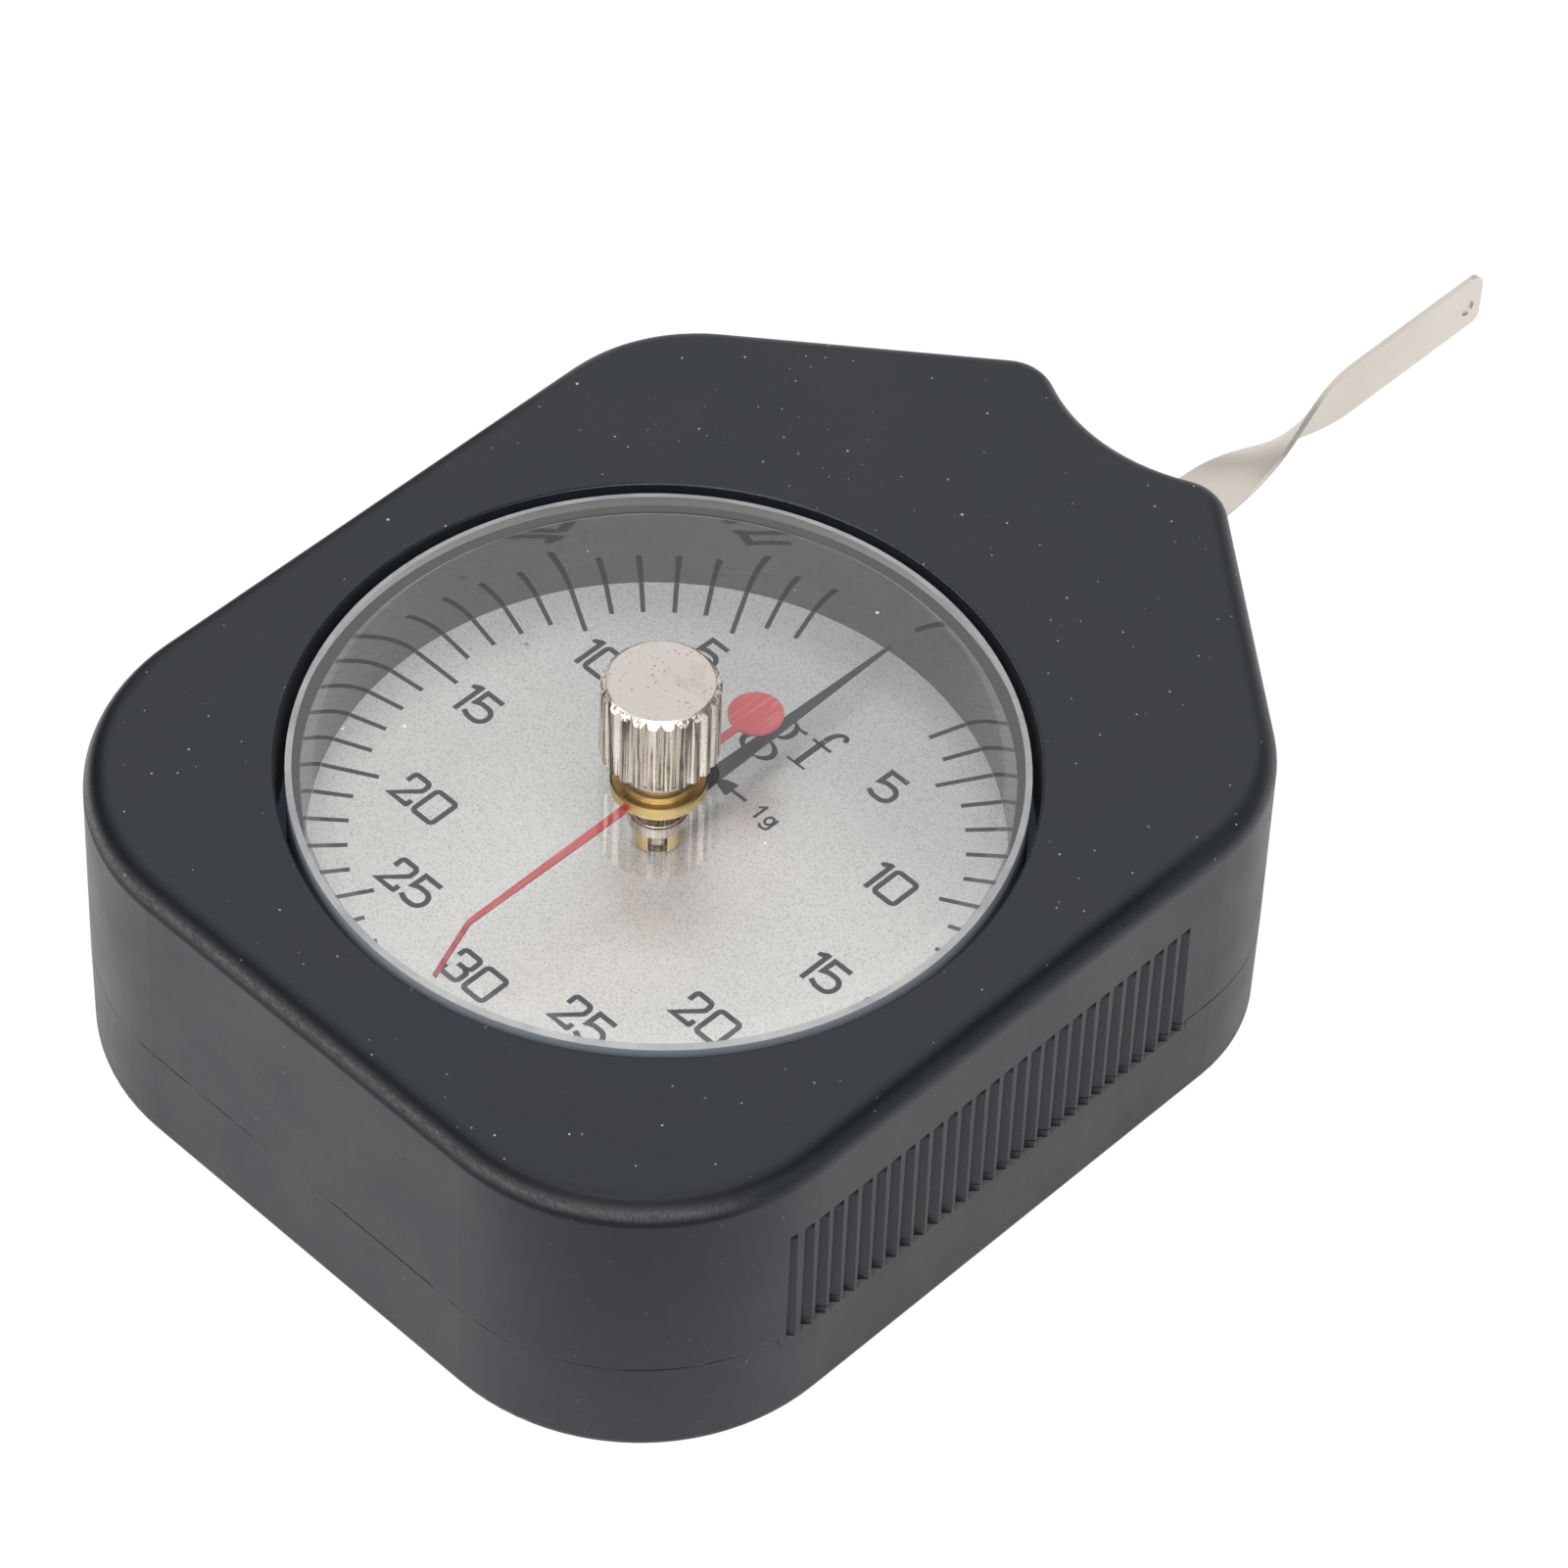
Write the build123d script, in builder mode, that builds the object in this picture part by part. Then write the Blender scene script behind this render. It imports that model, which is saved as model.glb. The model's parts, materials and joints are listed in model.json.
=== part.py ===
from build123d import *
import math
import os

# A pocket dial tension gauge, in millimetres and degrees.
# The origin lies on the flat back, straight under the dial axis.
# +X is right of the dial, +Y points to the nose with its feeler, +Z comes out of the dial.

os.makedirs("parts", exist_ok=True)

# Case outline, seen from above
case_width = 62.0
shoulder_angle = 50.9
shoulder_gap = 2.38
rear_gap = 0.96
nose_lead = 9.7
rear_corner_radius = 16.3
shoulder_corner_radius = 13.1
nose_corner_radius = 3.67
scoop_radius = 13.9

# Case heights, walls and edges
seam_height = 8.4
case_wall = 2.2
case_roof = 1.8
cover_floor = 2.0
case_draft = 0.6
top_edge_radius = 1.7
bottom_edge_radius = 0.85
overrun = 1.0

# Grips on both sides
grip_count = 29
grip_pitch = 1.307
grip_depth = 0.55
grip_drop = 6.2
grip_margin = 0.35
tongue_drop = 0.75

# Dial opening, crystal and dial
opening_edge = 0.2
crystal_gap = 0.7
crystal_recess = 0.1
crystal_thickness = 1.1
crystal_skirt = 1.2
crystal_bevel = 0.43
crystal_bevel_drop = 0.12
crystal_draft = 0.26
crystal_foot_width = 1.7
crystal_foot_height = 1.0
seat_clearance = 0.3
collar_wall = 1.6
dial_thickness = 0.8
dial_hole_radius = 1.3
dial_foot_radius = 0.7
dial_foot_length = 1.6
dial_foot_reach = 16.0

# Fits
running_fit = 0.02
joint_gap = 0.05
loose_fit = 0.1
hole_lead = 0.5

# Movement frame
plate_thickness = 1.0
plate_floor_gap = 1.5
plate_wall_gap = 0.9
plate_edge_gap = 0.3
plate_screw_wall = 1.0
plate_screw_rim = 0.2
front_screw_angle = 28.0
rear_screw_angle = 20.0
pillar_radius = 1.6
pillar_spigot_radius = 0.9
pillar_margin = 1.2
front_pillar_gap = 0.17
front_pillar_lead = 2.0
rear_pillar_spread = 8.0
rear_pillar_drop = 6.5
window_radius = 4.5

# Lever
pivot_distance = 34.0
lever_travel = 15.0
lever_shaft_radius = 1.0
lever_journal_radius = 0.6
lever_bush_radius = 1.5
lever_bush_flange = 2.1
bush_flange_thickness = 0.35
lever_flange_thickness = 1.2
lever_spigot_radius = 2.2
lever_spigot_gap = 0.6
lever_screw_land = 0.65
lever_screw_radius = 0.55
lever_screw_head = 1.0
lever_screw_head_height = 0.7
lever_rim = 0.5

# Feeler blade
feeler_width = 4.7
feeler_thickness = 0.4
feeler_flat_length = 10.8
feeler_twist_length = 16.5
feeler_blade_length = 14.25
twist_steps = 8
tip_top_radius = 1.3
tip_bottom_radius = 0.7
tip_dimple_radius = 0.65
tip_dimple_depth = 0.15
tip_dimple_inset = 1.45
tip_dimple_drop = 0.45
slot_floor = 1.55
slot_headroom = 0.6
slot_side_gap = 0.4

# Gears
pinion_teeth = 10
full_wheel_teeth = 120
sector_teeth = 13
pressure_angle = 20.0
pinion_addendum_share = 1.0
sector_addendum_share = 0.58
root_clearance_share = 0.25
backlash = 0.06
flank_steps = 4
sector_thickness = 1.0
sector_rim = 2.5
sector_arm_half_width = 2.0
pinion_width = 2.0

# Stop pins
stop_reach = 20.0
stop_radius = 0.8
stop_spigot_radius = 0.5
stop_lead = 0.45
stop_clearance = 0.12

# Measuring spring on the lever
measuring_strip = 0.25
measuring_strip_height = 1.2
measuring_turn_pitch = 1.04
measuring_half_turns = 8
measuring_room = 3.85
measuring_collet_radius = 2.0
collet_overhang = 0.1
spring_start_gap = 0.075
stud_radius = 0.6
stud_spigot_radius = 0.4

# Pointer arbor and hairspring
arbor_radius = 0.6
arbor_journal_radius = 0.4
arbor_bush_radius = 1.2
arbor_bush_flange = 1.7
arbor_shoulder_radius = 1.0
arbor_shoulder_length = 0.45
hair_strip = 0.12
hair_strip_height = 0.6
hair_turn_pitch = 0.84
hair_half_turns = 10
hair_collet_radius = 1.4

# Pointer
boss_lift = 0.2
boss_radius = 1.58
boss_length = 1.8
boss_slot = 1.3
boss_slot_angle = -45.0
pointer_thickness = 0.25
pointer_tip_gap = 1.1
pointer_eye_radius = 1.9
pointer_root_half_width = 0.7
pointer_tip_half_width = 0.09
collar_radius = 2.1
collar_height = 1.05
collar_edge = 0.25
hub_spigot_radius = 1.0
arbor_tip_gap = 0.1

# Drag hand and reset knob
hand_room = 0.95
hand_thickness = 0.2
hand_eye_radius = 2.0
hand_root_half_width = 0.3
hand_belly_half_width = 0.28
hand_belly_reach = 7.2
hand_slim_half_width = 0.21
hand_slim_length = 2.8
hand_bend_length = 3.1
hand_tip_gap = 3.0
hand_tip_half_width = 0.17
hand_tip_clearance = 0.12
tail_reach = 9.13
tail_radius = 1.9
tail_stem_half_width = 0.27
hub_flange_radius = 3.25
hub_flange_thickness = 1.15
hub_neck_radius = 2.0
drag_spigot_radius = 1.3
hub_flange_edge = 0.12
hub_step_radius = 2.55
hub_step_height = 0.28
ring_top_radius = 1.75
ring_bottom_radius = 1.6
ring_height = 0.95
washer_radius = 2.9
washer_thickness = 0.25
knob_radius = 4.0
knob_height = 6.3
knob_rise = 1.4
knob_boss_radius = 2.6
knob_edge = 0.45
knob_bore_depth = 3.0
knurl_count = 24
knurl_depth = 0.3

# Case and plate screws
cover_boss_radius = 3.0
boss_merge = 0.55
cover_screw_radius = 1.0
cover_screw_head = 2.0
cover_screw_head_height = 1.2
cover_screw_length = 13.0
cover_screw_sink = 0.2
plate_screw_radius = 0.8
plate_screw_head = 1.5
plate_screw_head_height = 0.8
plate_screw_length = 4.5
plate_pad_radius = 2.2
pillar_screw_radius = 0.7
pillar_screw_head = 1.3
pillar_screw_head_height = 0.7
pillar_screw_length = 3.8
screw_slot_share = 0.28
screw_slot_depth_share = 0.5

# Cover tabs that register the two shells
tab_thickness = 1.0
tab_height = 1.2
tab_root = 1.5
side_tab_margin = 0.95
rear_tab_margin = 3.7

# Radii worked out from the width, from the wall inward
case_half_width = case_width / 2
main_plate_radius = case_half_width - case_wall - plate_wall_gap
collar_outer_radius = main_plate_radius + plate_edge_gap
seat_radius = collar_outer_radius - collar_wall
crystal_foot_radius = seat_radius - seat_clearance
crystal_radius = crystal_foot_radius - crystal_foot_width
opening_radius = crystal_radius + crystal_gap
crystal_bore_radius = crystal_radius - crystal_skirt
pointer_length = crystal_bore_radius - pointer_tip_gap
hand_tip_reach = crystal_bore_radius - hand_tip_gap
hand_bend_reach = hand_tip_reach - hand_bend_length
hand_slim_reach = hand_bend_reach - hand_slim_length
lever_screw_reach = lever_spigot_radius + lever_screw_radius + lever_screw_land
lever_flange_radius = lever_screw_reach + lever_screw_head + lever_rim

# Heights worked out from the floor up
cover_screw_seat = cover_screw_sink + cover_screw_head_height
lower_plate_height = cover_floor + plate_floor_gap + pillar_screw_head_height
lower_plate_top = lower_plate_height + plate_thickness
lower_flange_top = lower_plate_top + bush_flange_thickness
tongue_underside = seam_height - tongue_drop
feeler_underside = seam_height + slot_floor
feeler_height = feeler_underside + feeler_thickness / 2
feeler_top = feeler_underside + feeler_thickness
lever_flange_underside = feeler_underside - lever_flange_thickness
sector_underside = lever_flange_underside - sector_thickness
lever_screw_top = feeler_top + lever_screw_head_height
main_plate_underside = lever_screw_top + measuring_room
main_plate_top = main_plate_underside + plate_thickness
upper_flange_underside = main_plate_underside - bush_flange_thickness
measuring_height = (lever_screw_top + upper_flange_underside - measuring_strip_height) / 2
dial_underside = main_plate_top
dial_height = dial_underside + dial_thickness
boss_underside = dial_height + boss_lift
pointer_underside = boss_underside + boss_length
pointer_top = pointer_underside + pointer_thickness
collar_top = pointer_top + collar_height
ring_underside = collar_top + hand_room
hand_underside = ring_underside + ring_height
hand_height = hand_underside + hand_thickness
hub_flange_top = hand_height + hub_flange_thickness
crystal_underside = hub_flange_top + joint_gap
crystal_top = crystal_underside + crystal_thickness
case_height = crystal_top + crystal_recess
ceiling_height = case_height - case_roof
grip_top = case_height - grip_drop
washer_underside = crystal_top + running_fit
washer_top = washer_underside + washer_thickness
knob_underside = crystal_top + knob_rise
knob_bore_top = knob_underside + knob_bore_depth

# Pointer arbor, and the hairspring midway between pinion and arbor shoulder
arbor_foot = lower_flange_top + joint_gap
shoulder_top = upper_flange_underside - joint_gap
shoulder_underside = shoulder_top - arbor_shoulder_length
pinion_underside = sector_underside + (sector_thickness - pinion_width) / 2
hair_height = (pinion_underside + pinion_width + shoulder_underside - hair_strip_height) / 2

# Spring ends and the studs that hold them
measuring_start = measuring_collet_radius + spring_start_gap + measuring_strip / 2
measuring_end = measuring_start + measuring_half_turns * measuring_turn_pitch / 2
measuring_stud_x = measuring_end + measuring_strip / 2 + joint_gap + stud_radius
hair_start = hair_collet_radius + spring_start_gap + hair_strip / 2
hair_end = hair_start + hair_half_turns * hair_turn_pitch / 2
hair_stud_x = hair_end + hair_strip / 2 + joint_gap + stud_radius

# Case outline: the shoulder clears the front pillars, the rear wall clears the plate screws
shoulder_out = (math.cos(math.radians(shoulder_angle)), math.sin(math.radians(shoulder_angle)))
front_pillar_spread = measuring_stud_x + stud_radius + front_pillar_gap + pillar_radius
front_pillar_reach = pivot_distance + front_pillar_lead
pillar_plate_radius = pillar_radius + pillar_margin
shoulder_distance = (
    shoulder_out[0] * front_pillar_spread
    + shoulder_out[1] * front_pillar_reach
    + pillar_plate_radius
    + shoulder_gap
    + case_wall
)
side_reach = (shoulder_distance - shoulder_out[0] * case_half_width) / shoulder_out[1]
apex_reach = shoulder_distance / shoulder_out[1]
plate_screw_reach = seat_radius + plate_screw_wall + plate_screw_radius
plate_lobe_radius = plate_pad_radius + plate_screw_rim
rear_screw_drop = plate_screw_reach * math.cos(math.radians(rear_screw_angle))
rear_reach = rear_screw_drop + plate_lobe_radius + rear_gap + case_wall
nose_reach = pivot_distance + nose_lead
scoop_reach = nose_reach + scoop_radius
twist_start = nose_reach + feeler_flat_length
twist_end = twist_start + feeler_twist_length
feeler_reach = twist_end + feeler_blade_length
slot_depth = case_wall + overrun
slot_half_width = (
    (nose_lead + slot_depth) * math.tan(math.radians(lever_travel))
    + feeler_width / 2 / math.cos(math.radians(lever_travel))
    + slot_side_gap
)
tongue_length = (grip_count - 1) * grip_pitch + 2 * (grip_depth + grip_margin)
side_tab_length = 2 * (rear_reach - rear_corner_radius - side_tab_margin)
rear_tab_length = 2 * (case_half_width - rear_corner_radius - rear_tab_margin)

# Gear sizes: a small pinion driven by a piece of a large wheel
gear_module = 2 * pivot_distance / (full_wheel_teeth + pinion_teeth)
pinion_pitch_radius = gear_module * pinion_teeth / 2
wheel_pitch_radius = gear_module * full_wheel_teeth / 2
pinion_tip_radius = pinion_pitch_radius + pinion_addendum_share * gear_module
wheel_tip_radius = wheel_pitch_radius + sector_addendum_share * gear_module
tooth_floor_gap = root_clearance_share * gear_module
pinion_root_radius = pivot_distance - wheel_tip_radius - tooth_floor_gap
wheel_root_radius = pivot_distance - pinion_tip_radius - tooth_floor_gap
tooth_thickness = (math.pi * gear_module - backlash) / 2
wheel_tooth_angle = 360 / full_wheel_teeth
sector_half_angle = sector_teeth * wheel_tooth_angle / 2


def along(angle, reach):
    """A point at a reach from the dial axis, its angle counted from +X."""
    return (reach * math.cos(math.radians(angle)), reach * math.sin(math.radians(angle)))


def facing_down(height):
    """A plane at a height that faces the back of the case, with +X kept."""
    return Plane((0, 0, height), x_dir=(1, 0, 0), z_dir=(0, 0, -1))


def mirrored(points):
    """The points and their mirror images across the nose axis."""
    return [(side * x, y) for side in (1, -1) for x, y in points]


def case_face(inset):
    """The outline of the case, drawn in by an inset."""
    with BuildSketch() as outline:
        with BuildLine():
            Polyline(
                (-case_half_width, -rear_reach),
                (case_half_width, -rear_reach),
                (case_half_width, side_reach),
                (0, apex_reach),
                (-case_half_width, side_reach),
                close=True,
            )
        make_face()
        with Locations((0, scoop_reach)):
            Circle(scoop_radius, mode=Mode.SUBTRACT)
        fillet(outline.vertices().group_by(Axis.Y)[-1], nose_corner_radius)
        fillet(outline.vertices().group_by(Axis.Y)[1], shoulder_corner_radius)
        fillet(outline.vertices().group_by(Axis.Y)[0], rear_corner_radius)
        if inset > 0:
            offset(amount=-inset, kind=Kind.ARC)
    return outline.sketch


def boss_points():
    """Centres of the four screw bosses, each nestled in a corner of the case."""
    front_x = case_half_width - shoulder_corner_radius
    front_y = (shoulder_distance - shoulder_corner_radius - shoulder_out[0] * front_x) / shoulder_out[1]
    depth = case_wall + cover_boss_radius - boss_merge
    front_shift = shoulder_corner_radius - depth
    rear_shift = along(-45, rear_corner_radius - depth)
    rear_x = case_half_width - rear_corner_radius + rear_shift[0]
    rear_y = rear_corner_radius - rear_reach + rear_shift[1]
    front = (front_x + front_shift * shoulder_out[0], front_y + front_shift * shoulder_out[1])
    return mirrored([front, (rear_x, rear_y)])


def slotted_screw(shank_radius, shank_length, head_radius, head_height):
    """A screw with its seat at the origin, its shank along +Z and its slotted head below."""
    with BuildPart() as screw:
        with BuildSketch(Plane.XY.offset(-head_height)):
            Circle(head_radius)
        extrude(amount=head_height)
        with BuildSketch():
            Circle(shank_radius)
        extrude(amount=shank_length)
        with BuildSketch(Plane.XY.offset(-head_height)):
            Rectangle(2 * head_radius + overrun, screw_slot_share * head_radius)
        extrude(amount=screw_slot_depth_share * head_height, mode=Mode.SUBTRACT)
    return screw.part


def tooth_face(pitch_radius, root_radius, tip_radius):
    """One involute tooth that points along +X and reaches a little into its blank."""
    pressure = math.radians(pressure_angle)
    base_radius = pitch_radius * math.cos(pressure)
    pitch_half_angle = tooth_thickness / pitch_radius / 2
    start_radius = max(base_radius, root_radius)
    foot_radius = root_radius - tooth_floor_gap

    def half_angle(radius):
        contact = math.acos(min(1, base_radius / radius))
        roll = math.tan(contact) - contact
        return pitch_half_angle + math.tan(pressure) - pressure - roll

    radii = [start_radius + (tip_radius - start_radius) * k / flank_steps for k in range(flank_steps + 1)]
    flank = [(foot_radius, half_angle(start_radius))] + [(r, half_angle(r)) for r in radii]
    left = [(r * math.cos(a), r * math.sin(a)) for r, a in flank]
    right = [(x, -y) for x, y in reversed(left)]
    with BuildSketch() as tooth:
        with BuildLine():
            Polyline(*left, *right, close=True)
        make_face()
    return tooth.sketch


def spiral_face(start_radius, turn_pitch, half_turns, strip):
    """A flat spiral strip made of half circles whose centres lie half a pitch apart."""
    step = turn_pitch / 2
    with BuildSketch() as spiral:
        with BuildLine():
            for side in (-strip / 2, strip / 2):
                for turn in range(half_turns):
                    centre = (step * (turn % 2), 0)
                    CenterArc(centre, start_radius + turn * step + side, 180 * (turn % 2), 180)
            end = start_radius + half_turns * step
            Line((start_radius - strip / 2, 0), (start_radius + strip / 2, 0))
            Line((end - strip / 2, 0), (end + strip / 2, 0))
        make_face()
    return spiral.sketch


cover_screw_points = boss_points()
pillar_points = mirrored(
    [(front_pillar_spread, front_pillar_reach), (rear_pillar_spread, -rear_pillar_drop)]
)
plate_screw_points = mirrored(
    [along(90 - front_screw_angle, plate_screw_reach), along(rear_screw_angle - 90, plate_screw_reach)]
)
lever_screw_points = [(0, pivot_distance - lever_screw_reach), (0, pivot_distance + lever_screw_reach)]
dial_foot_points = mirrored([(dial_foot_reach, 0)])
stop_angle = lever_travel + math.degrees(
    math.asin((sector_arm_half_width + stop_radius + stop_clearance) / stop_reach)
)
stop_x = stop_reach * math.sin(math.radians(stop_angle))
stop_y = pivot_distance - stop_reach * math.cos(math.radians(stop_angle))
stop_points = mirrored([(stop_x, stop_y)])

outer_face = case_face(0)
inner_face = case_face(case_wall)

# Front case: the upper shell with opening, crystal seat, grips and nose slot

with BuildPart() as front_case:
    with BuildSketch(Plane.XY.offset(seam_height)):
        add(outer_face)
    extrude(amount=case_height - seam_height, taper=case_draft)
    fillet(front_case.faces().sort_by(Axis.Z)[-1].edges(), top_edge_radius)
    with BuildSketch(Plane.XY.offset(tongue_underside)):
        with Locations((case_half_width - case_wall / 2, 0), (case_wall / 2 - case_half_width, 0)):
            Rectangle(case_wall, tongue_length)
        add(outer_face, mode=Mode.INTERSECT)
    extrude(amount=tongue_drop)
    with BuildSketch(Plane.XY.offset(seam_height)):
        add(inner_face)
    extrude(amount=ceiling_height - seam_height, mode=Mode.SUBTRACT)
    with BuildSketch(Plane.XY.offset(main_plate_top)):
        Circle(collar_outer_radius)
        with Locations(*plate_screw_points):
            Circle(plate_pad_radius)
    extrude(amount=ceiling_height - main_plate_top)
    with BuildSketch(Plane.XY.offset(seam_height)):
        with Locations(*cover_screw_points):
            Circle(cover_boss_radius)
    extrude(amount=ceiling_height - seam_height)
    with BuildSketch(Plane.XY.offset(main_plate_top)):
        Circle(opening_radius)
    extrude(amount=case_height, mode=Mode.SUBTRACT)
    with BuildSketch(Plane.XY.offset(main_plate_top)):
        Circle(seat_radius)
    extrude(amount=dial_thickness + crystal_foot_height, mode=Mode.SUBTRACT)
    rim = front_case.edges().filter_by(GeomType.CIRCLE).group_by(Axis.Z)[-1]
    fillet(rim, opening_edge)
    with BuildSketch(Plane.XY.offset(seam_height)):
        with Locations(*cover_screw_points):
            Circle(cover_screw_radius + running_fit)
    screw_end = cover_screw_seat + cover_screw_length + hole_lead
    extrude(amount=screw_end - seam_height, mode=Mode.SUBTRACT)
    with BuildSketch(Plane.XY.offset(main_plate_top)):
        with Locations(*plate_screw_points):
            Circle(plate_screw_radius + running_fit)
    extrude(amount=plate_screw_length - plate_thickness + hole_lead, mode=Mode.SUBTRACT)
    with BuildSketch(Plane.XY.offset(seam_height)):
        with Locations((0, nose_reach)):
            Rectangle(2 * slot_half_width, 2 * slot_depth)
    extrude(amount=feeler_top + slot_headroom - seam_height, mode=Mode.SUBTRACT)
    with BuildSketch(Plane.XY.offset(tongue_underside)):
        for side in (-case_half_width, case_half_width):
            with Locations((side, 0)):
                with GridLocations(0, grip_pitch, 1, grip_count):
                    Rectangle(grip_depth * math.sqrt(2), grip_depth * math.sqrt(2), rotation=45)
    extrude(amount=grip_top - tongue_underside, mode=Mode.SUBTRACT)
front_case.part.label = "front_case"
export_step(front_case.part, "parts/front_case.step")

# Back cover: the lower shell with screw columns, counterbores and register tabs

with BuildPart() as back_cover:
    with BuildSketch():
        add(outer_face)
    extrude(amount=seam_height)
    fillet(back_cover.faces().sort_by(Axis.Z)[0].edges(), bottom_edge_radius)
    with BuildSketch(Plane.XY.offset(cover_floor)):
        add(inner_face)
    extrude(amount=seam_height, mode=Mode.SUBTRACT)
    with BuildSketch(Plane.XY.offset(cover_floor)):
        with Locations(*cover_screw_points):
            Circle(cover_boss_radius)
    extrude(amount=seam_height - cover_floor)
    with BuildSketch(Plane.XY.offset(seam_height - tab_root)):
        with Locations((case_half_width - case_wall, 0), (case_wall - case_half_width, 0)):
            Rectangle(2 * (loose_fit + tab_thickness), side_tab_length)
        with Locations((0, case_wall - rear_reach)):
            Rectangle(rear_tab_length, 2 * (loose_fit + tab_thickness))
    extrude(amount=tab_root)
    with BuildSketch(Plane.XY.offset(seam_height)):
        tab_side = case_half_width - case_wall - loose_fit - tab_thickness / 2
        with Locations((tab_side, 0), (-tab_side, 0)):
            Rectangle(tab_thickness, side_tab_length)
        with Locations((0, case_wall + loose_fit + tab_thickness / 2 - rear_reach)):
            Rectangle(rear_tab_length, tab_thickness)
    extrude(amount=tab_height)
    with BuildSketch(Plane.XY.offset(tongue_underside)):
        with Locations((case_half_width, 0), (-case_half_width, 0)):
            Rectangle(2 * case_wall, tongue_length + 2 * joint_gap)
    extrude(amount=tongue_drop, mode=Mode.SUBTRACT)
    with Locations(facing_down(0)):
        with Locations(*[(x, -y) for x, y in cover_screw_points]):
            CounterBoreHole(
                radius=cover_screw_radius + loose_fit,
                counter_bore_radius=cover_screw_head + seat_clearance,
                counter_bore_depth=cover_screw_seat,
                depth=seam_height,
            )
back_cover.part.label = "back_cover"
export_step(back_cover.part, "parts/back_cover.step")

# Cover screws, four alike

cover_screw = slotted_screw(
    cover_screw_radius,
    cover_screw_length,
    cover_screw_head,
    cover_screw_head_height,
)
with BuildPart(Plane.XY.offset(cover_screw_seat)) as cover_screws:
    with Locations(*cover_screw_points):
        add(cover_screw)
cover_screws.part.label = "cover_screws"
export_step(cover_screws.part, "parts/cover_screws.step")

# Crystal: a clear cap whose skirt stands on the dial, its foot under the collar of the case

with BuildPart() as crystal:
    with BuildSketch(Plane.XZ):
        with BuildLine():
            Polyline(
                (hub_neck_radius + joint_gap, crystal_underside),
                (crystal_bore_radius + crystal_draft, crystal_underside),
                (crystal_bore_radius, dial_height),
                (crystal_foot_radius, dial_height),
                (crystal_foot_radius, dial_height + crystal_foot_height),
                (crystal_radius, dial_height + crystal_foot_height),
                (crystal_radius, crystal_top - crystal_bevel_drop),
                (crystal_radius - crystal_bevel, crystal_top),
                (hub_neck_radius + joint_gap, crystal_top),
                close=True,
            )
        make_face()
    revolve(axis=Axis.Z)
crystal.part.label = "crystal"
export_step(crystal.part, "parts/crystal.step")

# Dial plate, with two feet that locate it in the main plate

with BuildPart() as dial_plate:
    with BuildSketch(Plane.XY.offset(dial_underside)):
        Circle(crystal_foot_radius)
        Circle(dial_hole_radius, mode=Mode.SUBTRACT)
    extrude(amount=dial_thickness)
    with BuildSketch(Plane.XY.offset(dial_underside)):
        with Locations(*dial_foot_points):
            Circle(dial_foot_radius)
    extrude(amount=-dial_foot_length)
dial_plate.part.label = "dial_plate"
export_step(dial_plate.part, "parts/dial_plate.step")

# Main plate: hangs in the front case and carries dial and movement

with BuildPart() as main_plate:
    with BuildSketch(Plane.XY.offset(main_plate_underside)):
        with Locations(*pillar_points):
            Circle(pillar_plate_radius)
        make_hull()
        Circle(main_plate_radius)
        with Locations(*plate_screw_points):
            Circle(plate_lobe_radius)
        Circle(arbor_bush_radius + running_fit, mode=Mode.SUBTRACT)
        with Locations((0, pivot_distance)):
            Circle(lever_bush_radius + running_fit, mode=Mode.SUBTRACT)
        with Locations(*plate_screw_points):
            Circle(plate_screw_radius + loose_fit, mode=Mode.SUBTRACT)
        with Locations(*pillar_points):
            Circle(pillar_spigot_radius + running_fit, mode=Mode.SUBTRACT)
        with Locations(*dial_foot_points):
            Circle(dial_foot_radius + joint_gap, mode=Mode.SUBTRACT)
        with Locations((measuring_stud_x, pivot_distance), (hair_stud_x, 0)):
            Circle(stud_spigot_radius + running_fit, mode=Mode.SUBTRACT)
    extrude(amount=plate_thickness)
main_plate.part.label = "main_plate"
export_step(main_plate.part, "parts/main_plate.step")

# Plate screws, four alike, heads below the main plate

plate_screw = slotted_screw(
    plate_screw_radius,
    plate_screw_length,
    plate_screw_head,
    plate_screw_head_height,
)
with BuildPart(Plane.XY.offset(main_plate_underside)) as plate_screws:
    with Locations(*plate_screw_points):
        add(plate_screw)
plate_screws.part.label = "plate_screws"
export_step(plate_screws.part, "parts/plate_screws.step")

# Lower plate of the movement frame

with BuildPart() as lower_plate:
    with BuildSketch(Plane.XY.offset(lower_plate_height)):
        with Locations(*pillar_points):
            Circle(pillar_plate_radius)
        make_hull()
        Circle(arbor_bush_radius + running_fit, mode=Mode.SUBTRACT)
        with Locations((0, pivot_distance)):
            Circle(lever_bush_radius + running_fit, mode=Mode.SUBTRACT)
        with Locations(*pillar_points):
            Circle(pillar_screw_radius + joint_gap, mode=Mode.SUBTRACT)
        with Locations(*stop_points):
            Circle(stop_spigot_radius + running_fit, mode=Mode.SUBTRACT)
        with Locations((0, pivot_distance / 2)):
            Circle(window_radius, mode=Mode.SUBTRACT)
    extrude(amount=plate_thickness)
lower_plate.part.label = "lower_plate"
export_step(lower_plate.part, "parts/lower_plate.step")

# Pillars between the plates, riveted into the main plate and tapped below

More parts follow.
